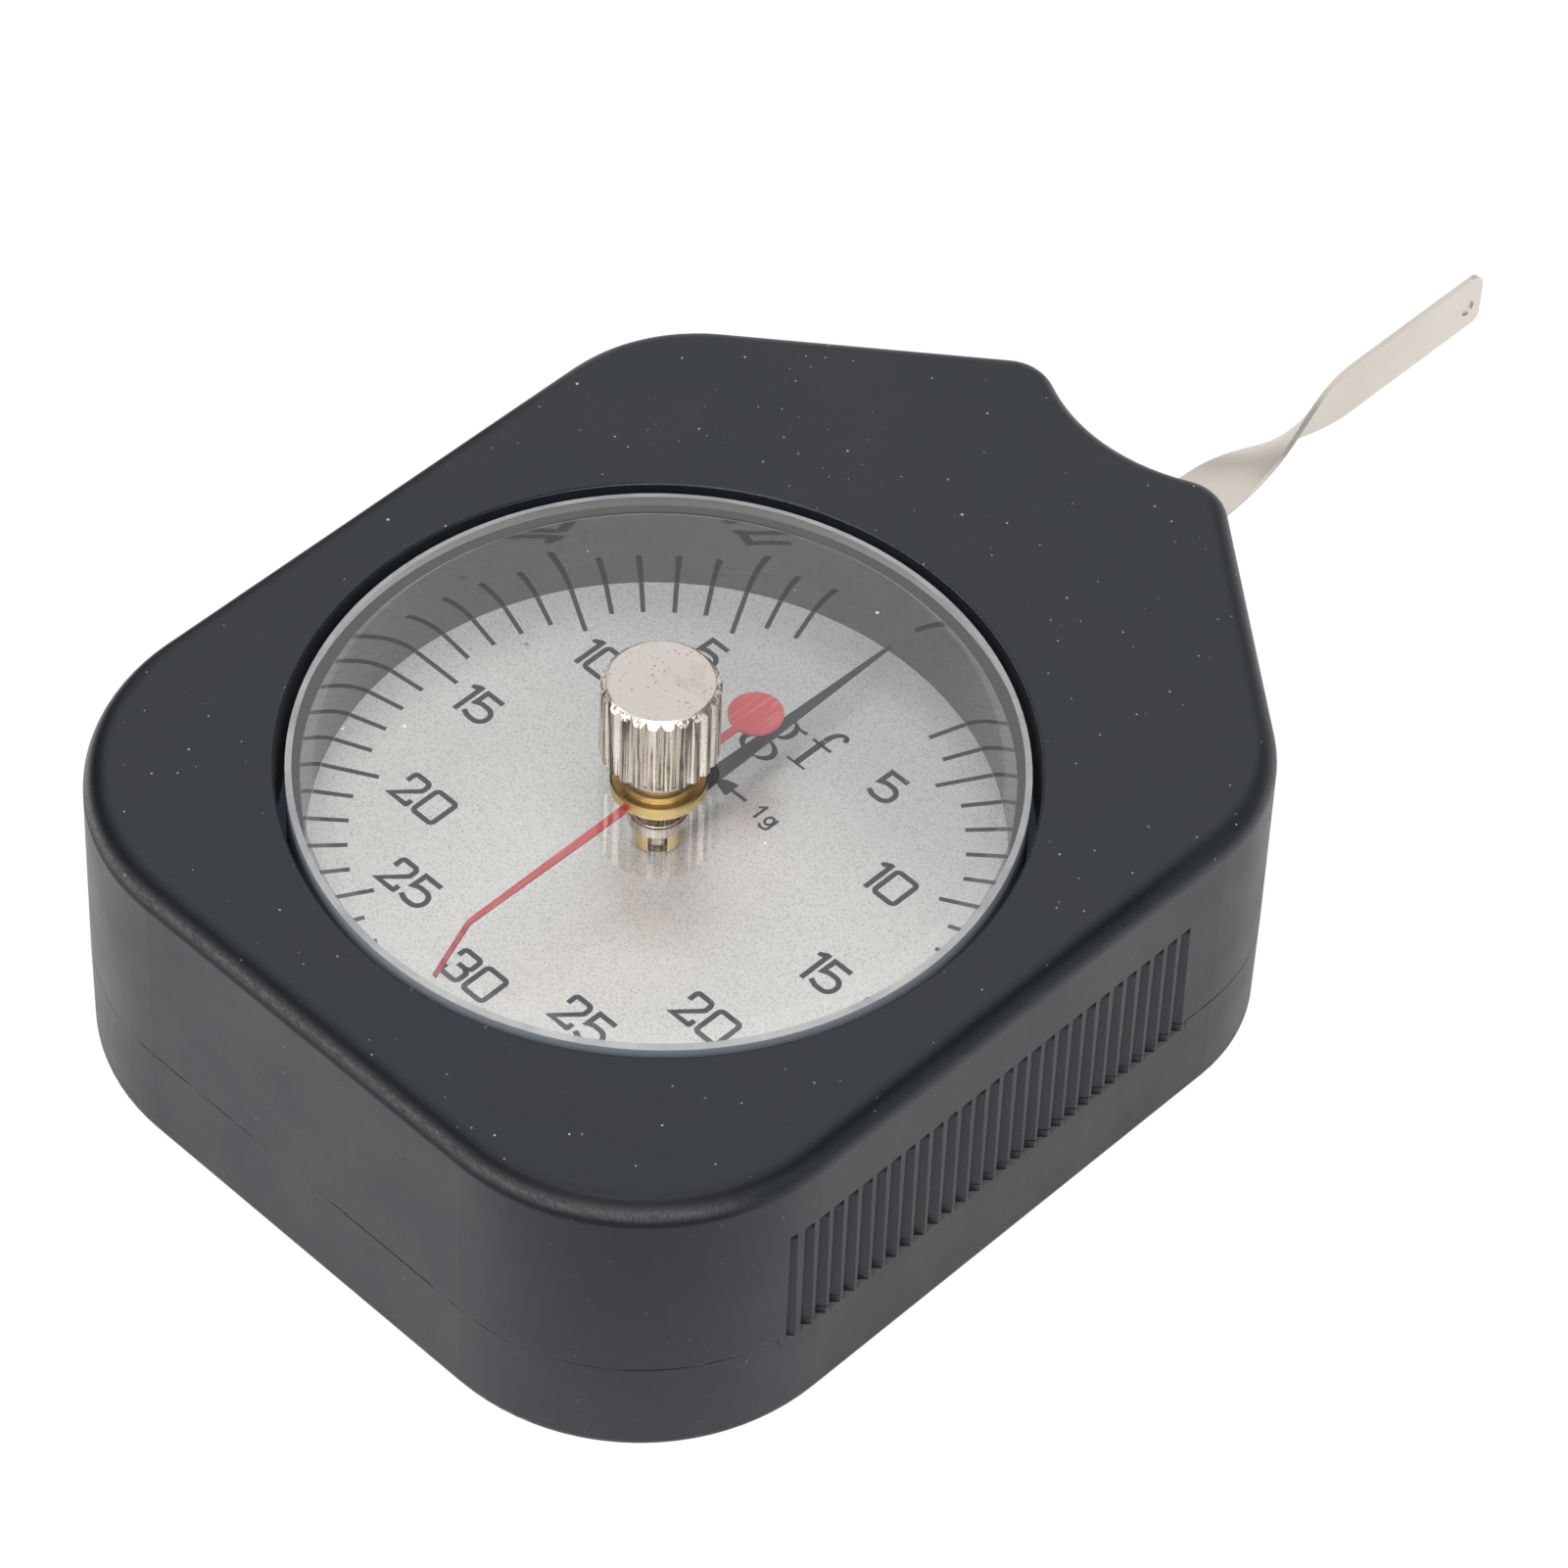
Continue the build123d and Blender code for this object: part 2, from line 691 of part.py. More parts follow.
with BuildPart() as plate_pillars:
    with BuildSketch(Plane.XY.offset(lower_plate_top)):
        with Locations(*pillar_points):
            Circle(pillar_radius)
    extrude(amount=main_plate_underside - lower_plate_top)
    with BuildSketch(Plane.XY.offset(main_plate_underside)):
        with Locations(*pillar_points):
            Circle(pillar_spigot_radius)
    extrude(amount=plate_thickness)
    with BuildSketch(Plane.XY.offset(lower_plate_top)):
        with Locations(*pillar_points):
            Circle(pillar_screw_radius + running_fit)
    extrude(amount=pillar_screw_length, mode=Mode.SUBTRACT)
plate_pillars.part.label = "plate_pillars"
export_step(plate_pillars.part, "parts/plate_pillars.step")

pillar_screw = slotted_screw(
    pillar_screw_radius,
    pillar_screw_length,
    pillar_screw_head,
    pillar_screw_head_height,
)
with BuildPart(Plane.XY.offset(lower_plate_height)) as pillar_screws:
    with Locations(*pillar_points):
        add(pillar_screw)
pillar_screws.part.label = "pillar_screws"
export_step(pillar_screws.part, "parts/pillar_screws.step")

# Lever bushes, one in each plate, their flanges facing each other

with BuildPart() as lever_bushes:
    with BuildSketch(Plane.XY.offset(lower_plate_height)):
        with Locations((0, pivot_distance)):
            Circle(lever_bush_radius)
    extrude(amount=plate_thickness)
    with BuildSketch(Plane.XY.offset(main_plate_underside)):
        with Locations((0, pivot_distance)):
            Circle(lever_bush_radius)
    extrude(amount=plate_thickness)
    with BuildSketch(
        Plane.XY.offset(lower_plate_top),
        Plane.XY.offset(upper_flange_underside),
    ):
        with Locations((0, pivot_distance)):
            Circle(lever_bush_flange)
    extrude(amount=bush_flange_thickness)
    with BuildSketch(Plane.XY.offset(lower_plate_height)):
        with Locations((0, pivot_distance)):
            Circle(lever_journal_radius + running_fit)
    extrude(amount=main_plate_top - lower_plate_height, mode=Mode.SUBTRACT)
lever_bushes.part.label = "lever_bushes"
export_step(lever_bushes.part, "parts/lever_bushes.step")

# Arbor bushes: a bearing below, and a guide above that the arbor passes through

with BuildPart() as arbor_lower_bush:
    with BuildSketch(Plane.XY.offset(lower_plate_height)):
        Circle(arbor_bush_radius)
    extrude(amount=plate_thickness)
    with BuildSketch(Plane.XY.offset(lower_plate_top)):
        Circle(arbor_bush_flange)
    extrude(amount=bush_flange_thickness)
    with Locations((0, 0, lower_plate_top)):
        Hole(arbor_journal_radius + running_fit)
arbor_lower_bush.part.label = "arbor_lower_bush"
export_step(arbor_lower_bush.part, "parts/arbor_lower_bush.step")

with BuildPart() as arbor_upper_bush:
    with BuildSketch(Plane.XY.offset(main_plate_underside)):
        Circle(arbor_bush_radius)
    extrude(amount=plate_thickness)
    with BuildSketch(Plane.XY.offset(upper_flange_underside)):
        Circle(arbor_bush_flange)
    extrude(amount=bush_flange_thickness)
    with Locations((0, 0, main_plate_underside)):
        Hole(arbor_radius + running_fit)
arbor_upper_bush.part.label = "arbor_upper_bush"
export_step(arbor_upper_bush.part, "parts/arbor_upper_bush.step")

# Lever shaft with its two journals

with BuildPart() as lever_shaft:
    shaft_foot = lower_flange_top + joint_gap
    shaft_head = upper_flange_underside - joint_gap
    with BuildSketch(Plane.XY.offset(shaft_foot)):
        with Locations((0, pivot_distance)):
            Circle(lever_shaft_radius)
    extrude(amount=shaft_head - shaft_foot)
    with BuildSketch(Plane.XY.offset(lower_plate_height)):
        with Locations((0, pivot_distance)):
            Circle(lever_journal_radius)
    extrude(amount=main_plate_top - lower_plate_height)
lever_shaft.part.label = "lever_shaft"
export_step(lever_shaft.part, "parts/lever_shaft.step")

# Lever body: the flanged hub that feeler and sector are screwed to

with BuildPart() as lever_body:
    with BuildSketch(Plane.XY.offset(lever_flange_underside)):
        with Locations((0, pivot_distance)):
            Circle(lever_flange_radius)
    extrude(amount=lever_flange_thickness)
    with BuildSketch(Plane.XY.offset(lever_flange_underside)):
        with Locations((0, pivot_distance)):
            Circle(lever_spigot_radius)
    extrude(amount=lower_flange_top + lever_spigot_gap - lever_flange_underside)
    with Locations((0, pivot_distance, lever_flange_underside)):
        Hole(lever_shaft_radius + running_fit)
    with Locations(*[(x, y, lever_flange_underside) for x, y in lever_screw_points]):
        Hole(lever_screw_radius + running_fit)
lever_body.part.label = "lever_body"
export_step(lever_body.part, "parts/lever_body.step")

# Lever screws, heads on the feeler, tips in the sector

lever_screw = slotted_screw(
    lever_screw_radius,
    feeler_top - sector_underside,
    lever_screw_head,
    lever_screw_head_height,
)
with BuildPart(facing_down(feeler_top)) as lever_screws:
    with Locations(*[(x, -y) for x, y in lever_screw_points]):
        add(lever_screw)
lever_screws.part.label = "lever_screws"
export_step(lever_screws.part, "parts/lever_screws.step")

# Feeler: a strip that lies flat in the case, twists a quarter turn and stands upright outside

with BuildPart() as feeler:
    with BuildSketch(Plane.XY.offset(feeler_underside)):
        with Locations((0, (pivot_distance + twist_start) / 2)):
            Rectangle(feeler_width, twist_start - pivot_distance)
        with Locations((0, pivot_distance)):
            Circle(lever_flange_radius)
            Circle(lever_shaft_radius + joint_gap, mode=Mode.SUBTRACT)
        with Locations(*lever_screw_points):
            Circle(lever_screw_radius + running_fit, mode=Mode.SUBTRACT)
    extrude(amount=feeler_thickness)
    for step in range(twist_steps + 1):
        share = step / twist_steps
        turn = math.radians(90) * share * share * (3 - 2 * share)
        reach = twist_start + (twist_end - twist_start) * share
        section = Plane(
            (0, reach, feeler_height),
            x_dir=(math.cos(turn), 0, math.sin(turn)),
            z_dir=(0, 1, 0),
        )
        with BuildSketch(section):
            Rectangle(feeler_width, feeler_thickness)
    loft()
    with BuildSketch(Plane.YZ.offset(-feeler_thickness / 2)) as blade:
        with Locations(((twist_end + feeler_reach) / 2, feeler_height)):
            Rectangle(feeler_reach - twist_end, feeler_width)
        tip_corners = blade.vertices().group_by(Axis.X)[-1].sort_by(Axis.Y)
        fillet(tip_corners[0], tip_bottom_radius)
        fillet(blade.vertices().group_by(Axis.Y)[-1].sort_by(Axis.X)[-1], tip_top_radius)
    extrude(amount=feeler_thickness)
    with BuildSketch(Plane.YZ.offset(feeler_thickness / 2)):
        with Locations((feeler_reach - tip_dimple_inset, feeler_height - tip_dimple_drop)):
            Circle(tip_dimple_radius)
    extrude(amount=-tip_dimple_depth, mode=Mode.SUBTRACT)
feeler.part.label = "feeler"
export_step(feeler.part, "parts/feeler.step")

# Sector gear: a piece of a large wheel that hangs on the lever

sector_tooth = tooth_face(wheel_pitch_radius, wheel_root_radius, wheel_tip_radius)
wedge_side = along(sector_half_angle - 90, 2 * wheel_root_radius)
with BuildPart() as sector_gear:
    with BuildSketch(Plane.XY.offset(sector_underside)):
        with Locations((0, pivot_distance)):
            Circle(wheel_root_radius)
            Circle(wheel_root_radius - sector_rim, mode=Mode.SUBTRACT)
        with BuildLine():
            Polyline(
                (0, pivot_distance),
                (wedge_side[0], pivot_distance + wedge_side[1]),
                (-wedge_side[0], pivot_distance + wedge_side[1]),
                close=True,
            )
        make_face(mode=Mode.INTERSECT)
        arm_length = wheel_root_radius - sector_rim / 2
        with Locations((0, pivot_distance - arm_length / 2)):
            Rectangle(2 * sector_arm_half_width, arm_length)
        with Locations((0, pivot_distance)):
            Circle(lever_flange_radius)
            Circle(lever_spigot_radius + running_fit, mode=Mode.SUBTRACT)
        with Locations(*lever_screw_points):
            Circle(lever_screw_radius + running_fit, mode=Mode.SUBTRACT)
        with Locations((0, pivot_distance)):
            with PolarLocations(
                0,
                sector_teeth,
                start_angle=-90 - sector_half_angle + wheel_tooth_angle / 2,
                angular_range=2 * sector_half_angle - wheel_tooth_angle,
                endpoint=True,
            ):
                add(sector_tooth)
    extrude(amount=sector_thickness)
sector_gear.part.label = "sector_gear"
export_step(sector_gear.part, "parts/sector_gear.step")

# Stop pins in the lower plate, on either side of the sector's arm

with BuildPart() as stop_pins:
    with BuildSketch(Plane.XY.offset(lower_plate_top)):
        with Locations(*stop_points):
            Circle(stop_radius)
    extrude(amount=sector_underside + sector_thickness + stop_lead - lower_plate_top)
    with BuildSketch(Plane.XY.offset(lower_plate_height)):
        with Locations(*stop_points):
            Circle(stop_spigot_radius)
    extrude(amount=plate_thickness)
stop_pins.part.label = "stop_pins"
export_step(stop_pins.part, "parts/stop_pins.step")

# Measuring spring round the lever shaft, with its collet and stud

measuring_spiral = spiral_face(
    measuring_start,
    measuring_turn_pitch,
    measuring_half_turns,
    measuring_strip,
)
with BuildPart() as measuring_spring:
    with BuildSketch(Plane.XY.offset(measuring_height)):
        with Locations((0, pivot_distance)):
            add(measuring_spiral)
    extrude(amount=measuring_strip_height)
measuring_spring.part.label = "measuring_spring"
export_step(measuring_spring.part, "parts/measuring_spring.step")

with BuildPart() as spring_collet:
    with BuildSketch(Plane.XY.offset(measuring_height - collet_overhang)):
        with Locations((0, pivot_distance)):
            Circle(measuring_collet_radius)
            Circle(lever_shaft_radius + running_fit, mode=Mode.SUBTRACT)
    extrude(amount=measuring_strip_height + 2 * collet_overhang)
spring_collet.part.label = "spring_collet"
export_step(spring_collet.part, "parts/spring_collet.step")

with BuildPart() as spring_stud:
    with BuildSketch(Plane.XY.offset(measuring_height - collet_overhang)):
        with Locations((measuring_stud_x, pivot_distance)):
            Circle(stud_radius)
    extrude(amount=main_plate_underside - measuring_height + collet_overhang)
    with BuildSketch(Plane.XY.offset(main_plate_underside)):
        with Locations((measuring_stud_x, pivot_distance)):
            Circle(stud_spigot_radius)
    extrude(amount=plate_thickness)
spring_stud.part.label = "spring_stud"
export_step(spring_stud.part, "parts/spring_stud.step")

# Hairspring round the pointer arbor, with its collet and stud

hair_spiral = spiral_face(hair_start, hair_turn_pitch, hair_half_turns, hair_strip)
with BuildPart() as hairspring:
    with BuildSketch(Plane.XY.offset(hair_height)):
        add(hair_spiral)
    extrude(amount=hair_strip_height)
hairspring.part.label = "hairspring"
export_step(hairspring.part, "parts/hairspring.step")

with BuildPart() as hairspring_collet:
    with BuildSketch(Plane.XY.offset(hair_height - collet_overhang)):
        Circle(hair_collet_radius)
        Circle(arbor_radius + running_fit, mode=Mode.SUBTRACT)
    extrude(amount=hair_strip_height + 2 * collet_overhang)
hairspring_collet.part.label = "hairspring_collet"
export_step(hairspring_collet.part, "parts/hairspring_collet.step")

with BuildPart() as hairspring_stud:
    with BuildSketch(Plane.XY.offset(hair_height - collet_overhang)):
        with Locations((hair_stud_x, 0)):
            Circle(stud_radius)
    extrude(amount=main_plate_underside - hair_height + collet_overhang)
    with BuildSketch(Plane.XY.offset(main_plate_underside)):
        with Locations((hair_stud_x, 0)):
            Circle(stud_spigot_radius)
    extrude(amount=plate_thickness)
hairspring_stud.part.label = "hairspring_stud"
export_step(hairspring_stud.part, "parts/hairspring_stud.step")

# Pointer arbor: journal below, shoulder under the upper bush, plain end for the pointer

with BuildPart() as pointer_arbor:
    with BuildSketch(Plane.XY.offset(lower_plate_height)):
        Circle(arbor_journal_radius)
    extrude(amount=arbor_foot - lower_plate_height)
    with BuildSketch(Plane.XY.offset(arbor_foot)):
        Circle(arbor_radius)
    extrude(amount=collar_top - arbor_tip_gap - arbor_foot)
    with BuildSketch(Plane.XY.offset(shoulder_underside)):
        Circle(arbor_shoulder_radius)
    extrude(amount=arbor_shoulder_length)
pointer_arbor.part.label = "pointer_arbor"
export_step(pointer_arbor.part, "parts/pointer_arbor.step")

# Pinion on the arbor, a gap of its teeth facing the sector at rest

pinion_tooth = tooth_face(pinion_pitch_radius, pinion_root_radius, pinion_tip_radius)
with BuildPart() as pinion:
    with BuildSketch(Plane.XY.offset(pinion_underside)):
        Circle(pinion_root_radius)
        with PolarLocations(0, pinion_teeth, start_angle=90 + 180 / pinion_teeth):
            add(pinion_tooth)
        Circle(arbor_radius + running_fit, mode=Mode.SUBTRACT)
    extrude(amount=pinion_width)
pinion.part.label = "pinion"
export_step(pinion.part, "parts/pinion.step")

# Pointer boss: slit brass sleeve just above the dial

with BuildPart() as pointer_boss:
    with BuildSketch(Plane.XY.offset(boss_underside)):
        Circle(boss_radius)
        Circle(hub_spigot_radius + running_fit, mode=Mode.SUBTRACT)
        with PolarLocations(boss_radius, 1, start_angle=boss_slot_angle):
            Rectangle(2 * boss_radius, boss_slot, mode=Mode.SUBTRACT)
    extrude(amount=boss_length)
pointer_boss.part.label = "pointer_boss"
export_step(pointer_boss.part, "parts/pointer_boss.step")

# Pointer: a thin blade that tapers to a point over the scale

with BuildPart() as pointer:
    with BuildSketch(Plane.XY.offset(pointer_underside)):
        with BuildLine():
            Polyline(
                (-pointer_root_half_width, 0),
                (-pointer_tip_half_width, pointer_length),
                (pointer_tip_half_width, pointer_length),
                (pointer_root_half_width, 0),
                close=True,
            )
        make_face()
        Circle(pointer_eye_radius)
        Circle(hub_spigot_radius + running_fit, mode=Mode.SUBTRACT)
    extrude(amount=pointer_thickness)
pointer.part.label = "pointer"
export_step(pointer.part, "parts/pointer.step")

# Pointer hub: nickel collar with a spigot through pointer and boss

with BuildPart() as pointer_hub:
    with BuildSketch(Plane.XY.offset(pointer_top)):
        Circle(collar_radius)
    extrude(amount=collar_height)
    fillet(pointer_hub.edges().group_by(Axis.Z)[-1], collar_edge)
    with BuildSketch(Plane.XY.offset(boss_underside)):
        Circle(hub_spigot_radius)
    extrude(amount=pointer_top - boss_underside)
    with Locations((0, 0, pointer_top)):
        Hole(arbor_radius + running_fit)
pointer_hub.part.label = "pointer_hub"
export_step(pointer_hub.part, "parts/pointer_hub.step")

# Drag hub: stepped flange under the crystal, neck through it into the knob, spigot for the hand

with BuildPart() as drag_hub:
    with BuildSketch(Plane.XY.offset(hand_height)):
        Circle(hub_flange_radius)
    extrude(amount=hub_flange_thickness - hub_step_height)
    chamfer(drag_hub.edges().group_by(Axis.Z)[-1], hub_flange_edge)
    with BuildSketch(Plane.XY.offset(hand_height)):
        Circle(hub_step_radius)
    extrude(amount=hub_flange_thickness)
    chamfer(drag_hub.edges().group_by(Axis.Z)[-1], hub_flange_edge)
    with BuildSketch(Plane.XY.offset(hub_flange_top)):
        Circle(hub_neck_radius)
    extrude(amount=knob_bore_top - running_fit - hub_flange_top)
    with BuildSketch(Plane.XY.offset(hand_height)):
        Circle(drag_spigot_radius)
    extrude(amount=-hand_thickness - ring_height)
drag_hub.part.label = "drag_hub"
export_step(drag_hub.part, "parts/drag_hub.step")

# Drag hand: round tail, slim pointer and a tip bent down to meet the pointer

with BuildPart() as drag_hand:
    with BuildSketch(Plane.XY.offset(pointer_top)):
        with BuildLine():
            side_points = [
                (hand_root_half_width, 0),
                (hand_belly_half_width, -hand_belly_reach),
                (hand_slim_half_width, -hand_slim_reach),
                (hand_tip_half_width, -hand_tip_reach),
            ]
            Polyline(*side_points, *[(-x, y) for x, y in reversed(side_points)], close=True)
        make_face()
        Circle(hand_eye_radius)
        with Locations((0, tail_reach / 2)):
            Rectangle(2 * tail_stem_half_width, tail_reach)
        with Locations((0, tail_reach)):
            Circle(tail_radius)
        Circle(drag_spigot_radius + running_fit, mode=Mode.SUBTRACT)
    extrude(amount=hand_height - pointer_top)
    tip_height = pointer_top + hand_tip_clearance
    with BuildSketch(Plane.YZ.offset(-tail_radius - overrun)):
        with BuildLine():
            Polyline(
                (tail_reach + tail_radius + overrun, hand_height),
                (-hand_bend_reach, hand_height),
                (-hand_tip_reach, tip_height + hand_thickness),
                (-hand_tip_reach, tip_height),
                (-hand_bend_reach, hand_underside),
                (tail_reach + tail_radius + overrun, hand_underside),
                close=True,
            )
        make_face()
    extrude(amount=2 * (tail_radius + overrun), mode=Mode.INTERSECT)
drag_hand.part.label = "drag_hand"
export_step(drag_hand.part, "parts/drag_hand.step")

# Hand ring: holds the drag hand up against the hub's flange

with BuildPart() as hand_ring:
    with BuildSketch(Plane.XY.offset(ring_underside)):
        Circle(ring_bottom_radius)
    with BuildSketch(Plane.XY.offset(hand_underside)):
        Circle(ring_top_radius)
    loft()
    with Locations((0, 0, hand_underside)):
        Hole(drag_spigot_radius + running_fit)
hand_ring.part.label = "hand_ring"
export_step(hand_ring.part, "parts/hand_ring.step")

# Friction washer between crystal and knob

with BuildPart() as friction_washer:
    with BuildSketch(Plane.XY.offset(washer_underside)):
        Circle(washer_radius)
        Circle(hub_neck_radius + joint_gap, mode=Mode.SUBTRACT)
    extrude(amount=washer_thickness)
friction_washer.part.label = "friction_washer"
export_step(friction_washer.part, "parts/friction_washer.step")

# Reset knob with straight knurling

with BuildPart() as reset_knob:
    with BuildSketch(Plane.XY.offset(knob_underside)):
        Circle(knob_radius)
    extrude(amount=knob_height)
    chamfer(reset_knob.edges().group_by(Axis.Z)[-1], knob_edge)
    with BuildSketch(Plane.XY.offset(washer_top)):
        Circle(knob_boss_radius)
    extrude(amount=knob_underside - washer_top)
    with BuildSketch(Plane.XY.offset(knob_underside)):
        with PolarLocations(knob_radius, knurl_count):
            Rectangle(knurl_depth * math.sqrt(2), knurl_depth * math.sqrt(2), rotation=45)
    extrude(amount=knob_height, mode=Mode.SUBTRACT)
    with BuildSketch(Plane.XY.offset(washer_top)):
        Circle(hub_neck_radius + running_fit)
    extrude(amount=knob_bore_top - washer_top, mode=Mode.SUBTRACT)
reset_knob.part.label = "reset_knob"
export_step(reset_knob.part, "parts/reset_knob.step")
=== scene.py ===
import json
import math

import bmesh
import bpy
from mathutils import Matrix, Vector


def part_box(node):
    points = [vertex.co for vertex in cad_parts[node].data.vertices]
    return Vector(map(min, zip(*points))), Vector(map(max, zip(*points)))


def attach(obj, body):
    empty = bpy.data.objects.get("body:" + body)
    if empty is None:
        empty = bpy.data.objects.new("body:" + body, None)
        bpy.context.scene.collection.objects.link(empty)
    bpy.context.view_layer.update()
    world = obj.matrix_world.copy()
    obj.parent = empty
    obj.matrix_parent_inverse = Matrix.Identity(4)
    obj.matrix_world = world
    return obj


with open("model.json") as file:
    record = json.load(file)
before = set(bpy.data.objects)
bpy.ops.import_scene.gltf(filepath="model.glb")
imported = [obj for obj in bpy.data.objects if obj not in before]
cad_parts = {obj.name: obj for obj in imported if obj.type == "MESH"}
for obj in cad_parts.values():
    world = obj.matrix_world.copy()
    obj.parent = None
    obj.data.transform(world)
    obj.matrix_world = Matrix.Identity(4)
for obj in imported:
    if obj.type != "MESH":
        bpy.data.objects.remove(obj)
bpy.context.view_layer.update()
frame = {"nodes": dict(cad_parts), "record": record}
nodes = frame["nodes"]
scene = bpy.context.scene
mm = 0.001
print("frame loaded:", len(nodes), "nodes")


def addNode(tree, kind, inputs=None, **settings):
    node = tree.nodes.new(kind)
    for key, value in settings.items():
        setattr(node, key, value)
    for key, value in (inputs or {}).items():
        if isinstance(value, bpy.types.NodeSocket):
            tree.links.new(value, node.inputs[key])
        else:
            node.inputs[key].default_value = value
    return node


def startMaterial(name):
    material = bpy.data.materials.new(name)
    material.use_nodes = True
    material.node_tree.nodes.clear()
    return material, material.node_tree


def endMaterial(material, shader):
    addNode(material.node_tree, "ShaderNodeOutputMaterial", {"Surface": shader})
    return material


def objectPoint(tree, stretch=(1, 1, 1), turn=(0, 0, 0)):
    point = addNode(tree, "ShaderNodeTexCoord").outputs["Object"]
    turned = addNode(tree, "ShaderNodeMapping", {"Vector": point, "Rotation": turn, "Scale": stretch})
    return turned.outputs[0]


def noise(tree, point, scale, detail, rough):
    texture = addNode(tree, "ShaderNodeTexNoise", {
        "Vector": point, "Scale": scale, "Detail": detail, "Roughness": rough})
    return texture.outputs["Fac"]


def ranged(tree, value, low, high, outLow=0.0, outHigh=1.0, smooth=False):
    node = addNode(tree, "ShaderNodeMapRange", {
        "Value": value, "From Min": low, "From Max": high, "To Min": outLow, "To Max": outHigh})
    if smooth:
        node.interpolation_type = "SMOOTHSTEP"
    return node.outputs["Result"]


def calc(tree, how, first, second=0.0):
    return addNode(tree, "ShaderNodeMath", {0: first, 1: second}, operation=how).outputs[0]


def times(tree, first, *others):
    for other in others:
        first = calc(tree, "MULTIPLY", first, other)
    return first


def most(tree, first, *others):
    for other in others:
        first = calc(tree, "MAXIMUM", first, other)
    return first


def hump(tree, value, rise, fall):
    # one between the rise and the fall, nought outside both
    return times(tree, ranged(tree, value, *rise), ranged(tree, value, *fall, 1.0, 0.0))


def splitUp(tree, vector):
    return addNode(tree, "ShaderNodeSeparateXYZ", {"Vector": vector}).outputs


def alongWay(tree, place, way):
    # how far a place or a direction lies along a way
    product = addNode(tree, "ShaderNodeVectorMath", {0: place, 1: way}, operation="DOT_PRODUCT")
    return product.outputs["Value"]


def blendColour(tree, share, first, second, how="MIX"):
    node = addNode(tree, "ShaderNodeMix", data_type="RGBA", blend_type=how)
    for socket, value in ((node.inputs[0], share), (node.inputs[6], first), (node.inputs[7], second)):
        if isinstance(value, bpy.types.NodeSocket):
            tree.links.new(value, socket)
        else:
            socket.default_value = value if isinstance(value, float) else (*value, 1.0)
    return node.outputs[2]


def blendShader(tree, share, first, second):
    return addNode(tree, "ShaderNodeMixShader", {0: share, 1: first, 2: second}).outputs[0]


def matt(tree, colour):
    return addNode(tree, "ShaderNodeBsdfDiffuse", {"Color": (*colour, 1.0)}).outputs[0]


def glossy(tree, colour, roughness):
    return addNode(tree, "ShaderNodeBsdfGlossy", {
        "Color": (*colour, 1.0), "Roughness": roughness}).outputs[0]


def dots(tree, point, scale, size, share):
    # round dots with soft rims, one in some of the cells, as dust or pits
    softRim = 0.6
    cells = addNode(tree, "ShaderNodeTexVoronoi", {"Vector": point, "Scale": scale, "Randomness": 1.0})
    pick = addNode(tree, "ShaderNodeSeparateColor", {"Color": cells.outputs["Color"]})
    near = ranged(tree, cells.outputs["Distance"], size * softRim, size, 1.0, 0.0)
    chosen = calc(tree, "LESS_THAN", pick.outputs[0], share)
    return times(tree, near, times(tree, chosen, pick.outputs[1]))


def roundness(tree, point):
    # distance from the dial's axis, and height
    across, along, height = splitUp(tree, point)
    flat = addNode(tree, "ShaderNodeCombineXYZ", {"X": across, "Y": along}).outputs[0]
    radius = addNode(tree, "ShaderNodeVectorMath", {0: flat}, operation="LENGTH").outputs["Value"]
    return radius, height


def bump(tree, height, strength, depth):
    return addNode(tree, "ShaderNodeBump", {
        "Height": height, "Strength": strength, "Distance": depth}).outputs["Normal"]


def makeCamera():
    # place is in millimetres; the picture is square, and so is the sensor
    view = {
        "place": (205.88, -211.81, 353.16),
        "right": (0.7118, 0.7017, 0.0313),
        "up": (-0.5387, 0.5167, 0.6655),
        "lens": 154.205,
        "sensor": 36.0,
        "clip": (0.01, 20.0),
    }
    right = Vector(view["right"]).normalized()
    up = Vector(view["up"])
    up = (up - right * up.dot(right)).normalized()
    back = right.cross(up)
    data = bpy.data.cameras.new("viewCamera")
    data.lens = view["lens"]
    data.sensor_width = data.sensor_height = view["sensor"]
    data.clip_start, data.clip_end = view["clip"]
    camera = bpy.data.objects.new("viewCamera", data)
    scene.collection.objects.link(camera)
    turn = Matrix((right, up, back)).transposed().to_4x4()
    camera.matrix_world = Matrix.Translation(Vector(view["place"]) * mm) @ turn
    scene.camera = camera


def makeSoftBoxes():
    # large rectangular lamps, all equally far from the point that they are aimed at
    aimPoint, distance = Vector((0, 10 * mm, 15 * mm)), 0.60
    lamps = {
        "backBox": {"way": (-0.42, 0.49, 0.76), "size": (0.56, 0.50), "radiance": 1.12, "tint": (1, 1, 1)},
        "keyBox": {"way": (0.27, -0.36, 0.89), "size": (0.50, 0.58), "radiance": 4.15, "tint": (1, 1, 1)},
        "frontLeftBox": {"way": (-0.55, -0.62, 0.56), "size": (0.26, 0.20), "radiance": 3.0,
                         "tint": (1.0, 0.985, 0.96)},
    }
    for name, look in lamps.items():
        wide, high = look["size"]
        data = bpy.data.lights.new(name, "AREA")
        data.shape = "RECTANGLE"
        data.size, data.size_y = wide, high
        data.energy = look["radiance"] * math.pi * wide * high
        data.color = look["tint"]
        lamp = bpy.data.objects.new(name, data)
        scene.collection.objects.link(lamp)
        way = Vector(look["way"]).normalized()
        turn = way.to_track_quat("Z", "Y").to_matrix().to_4x4()
        lamp.matrix_world = Matrix.Translation(aimPoint + way * distance) @ turn
        lamp.visible_camera = False


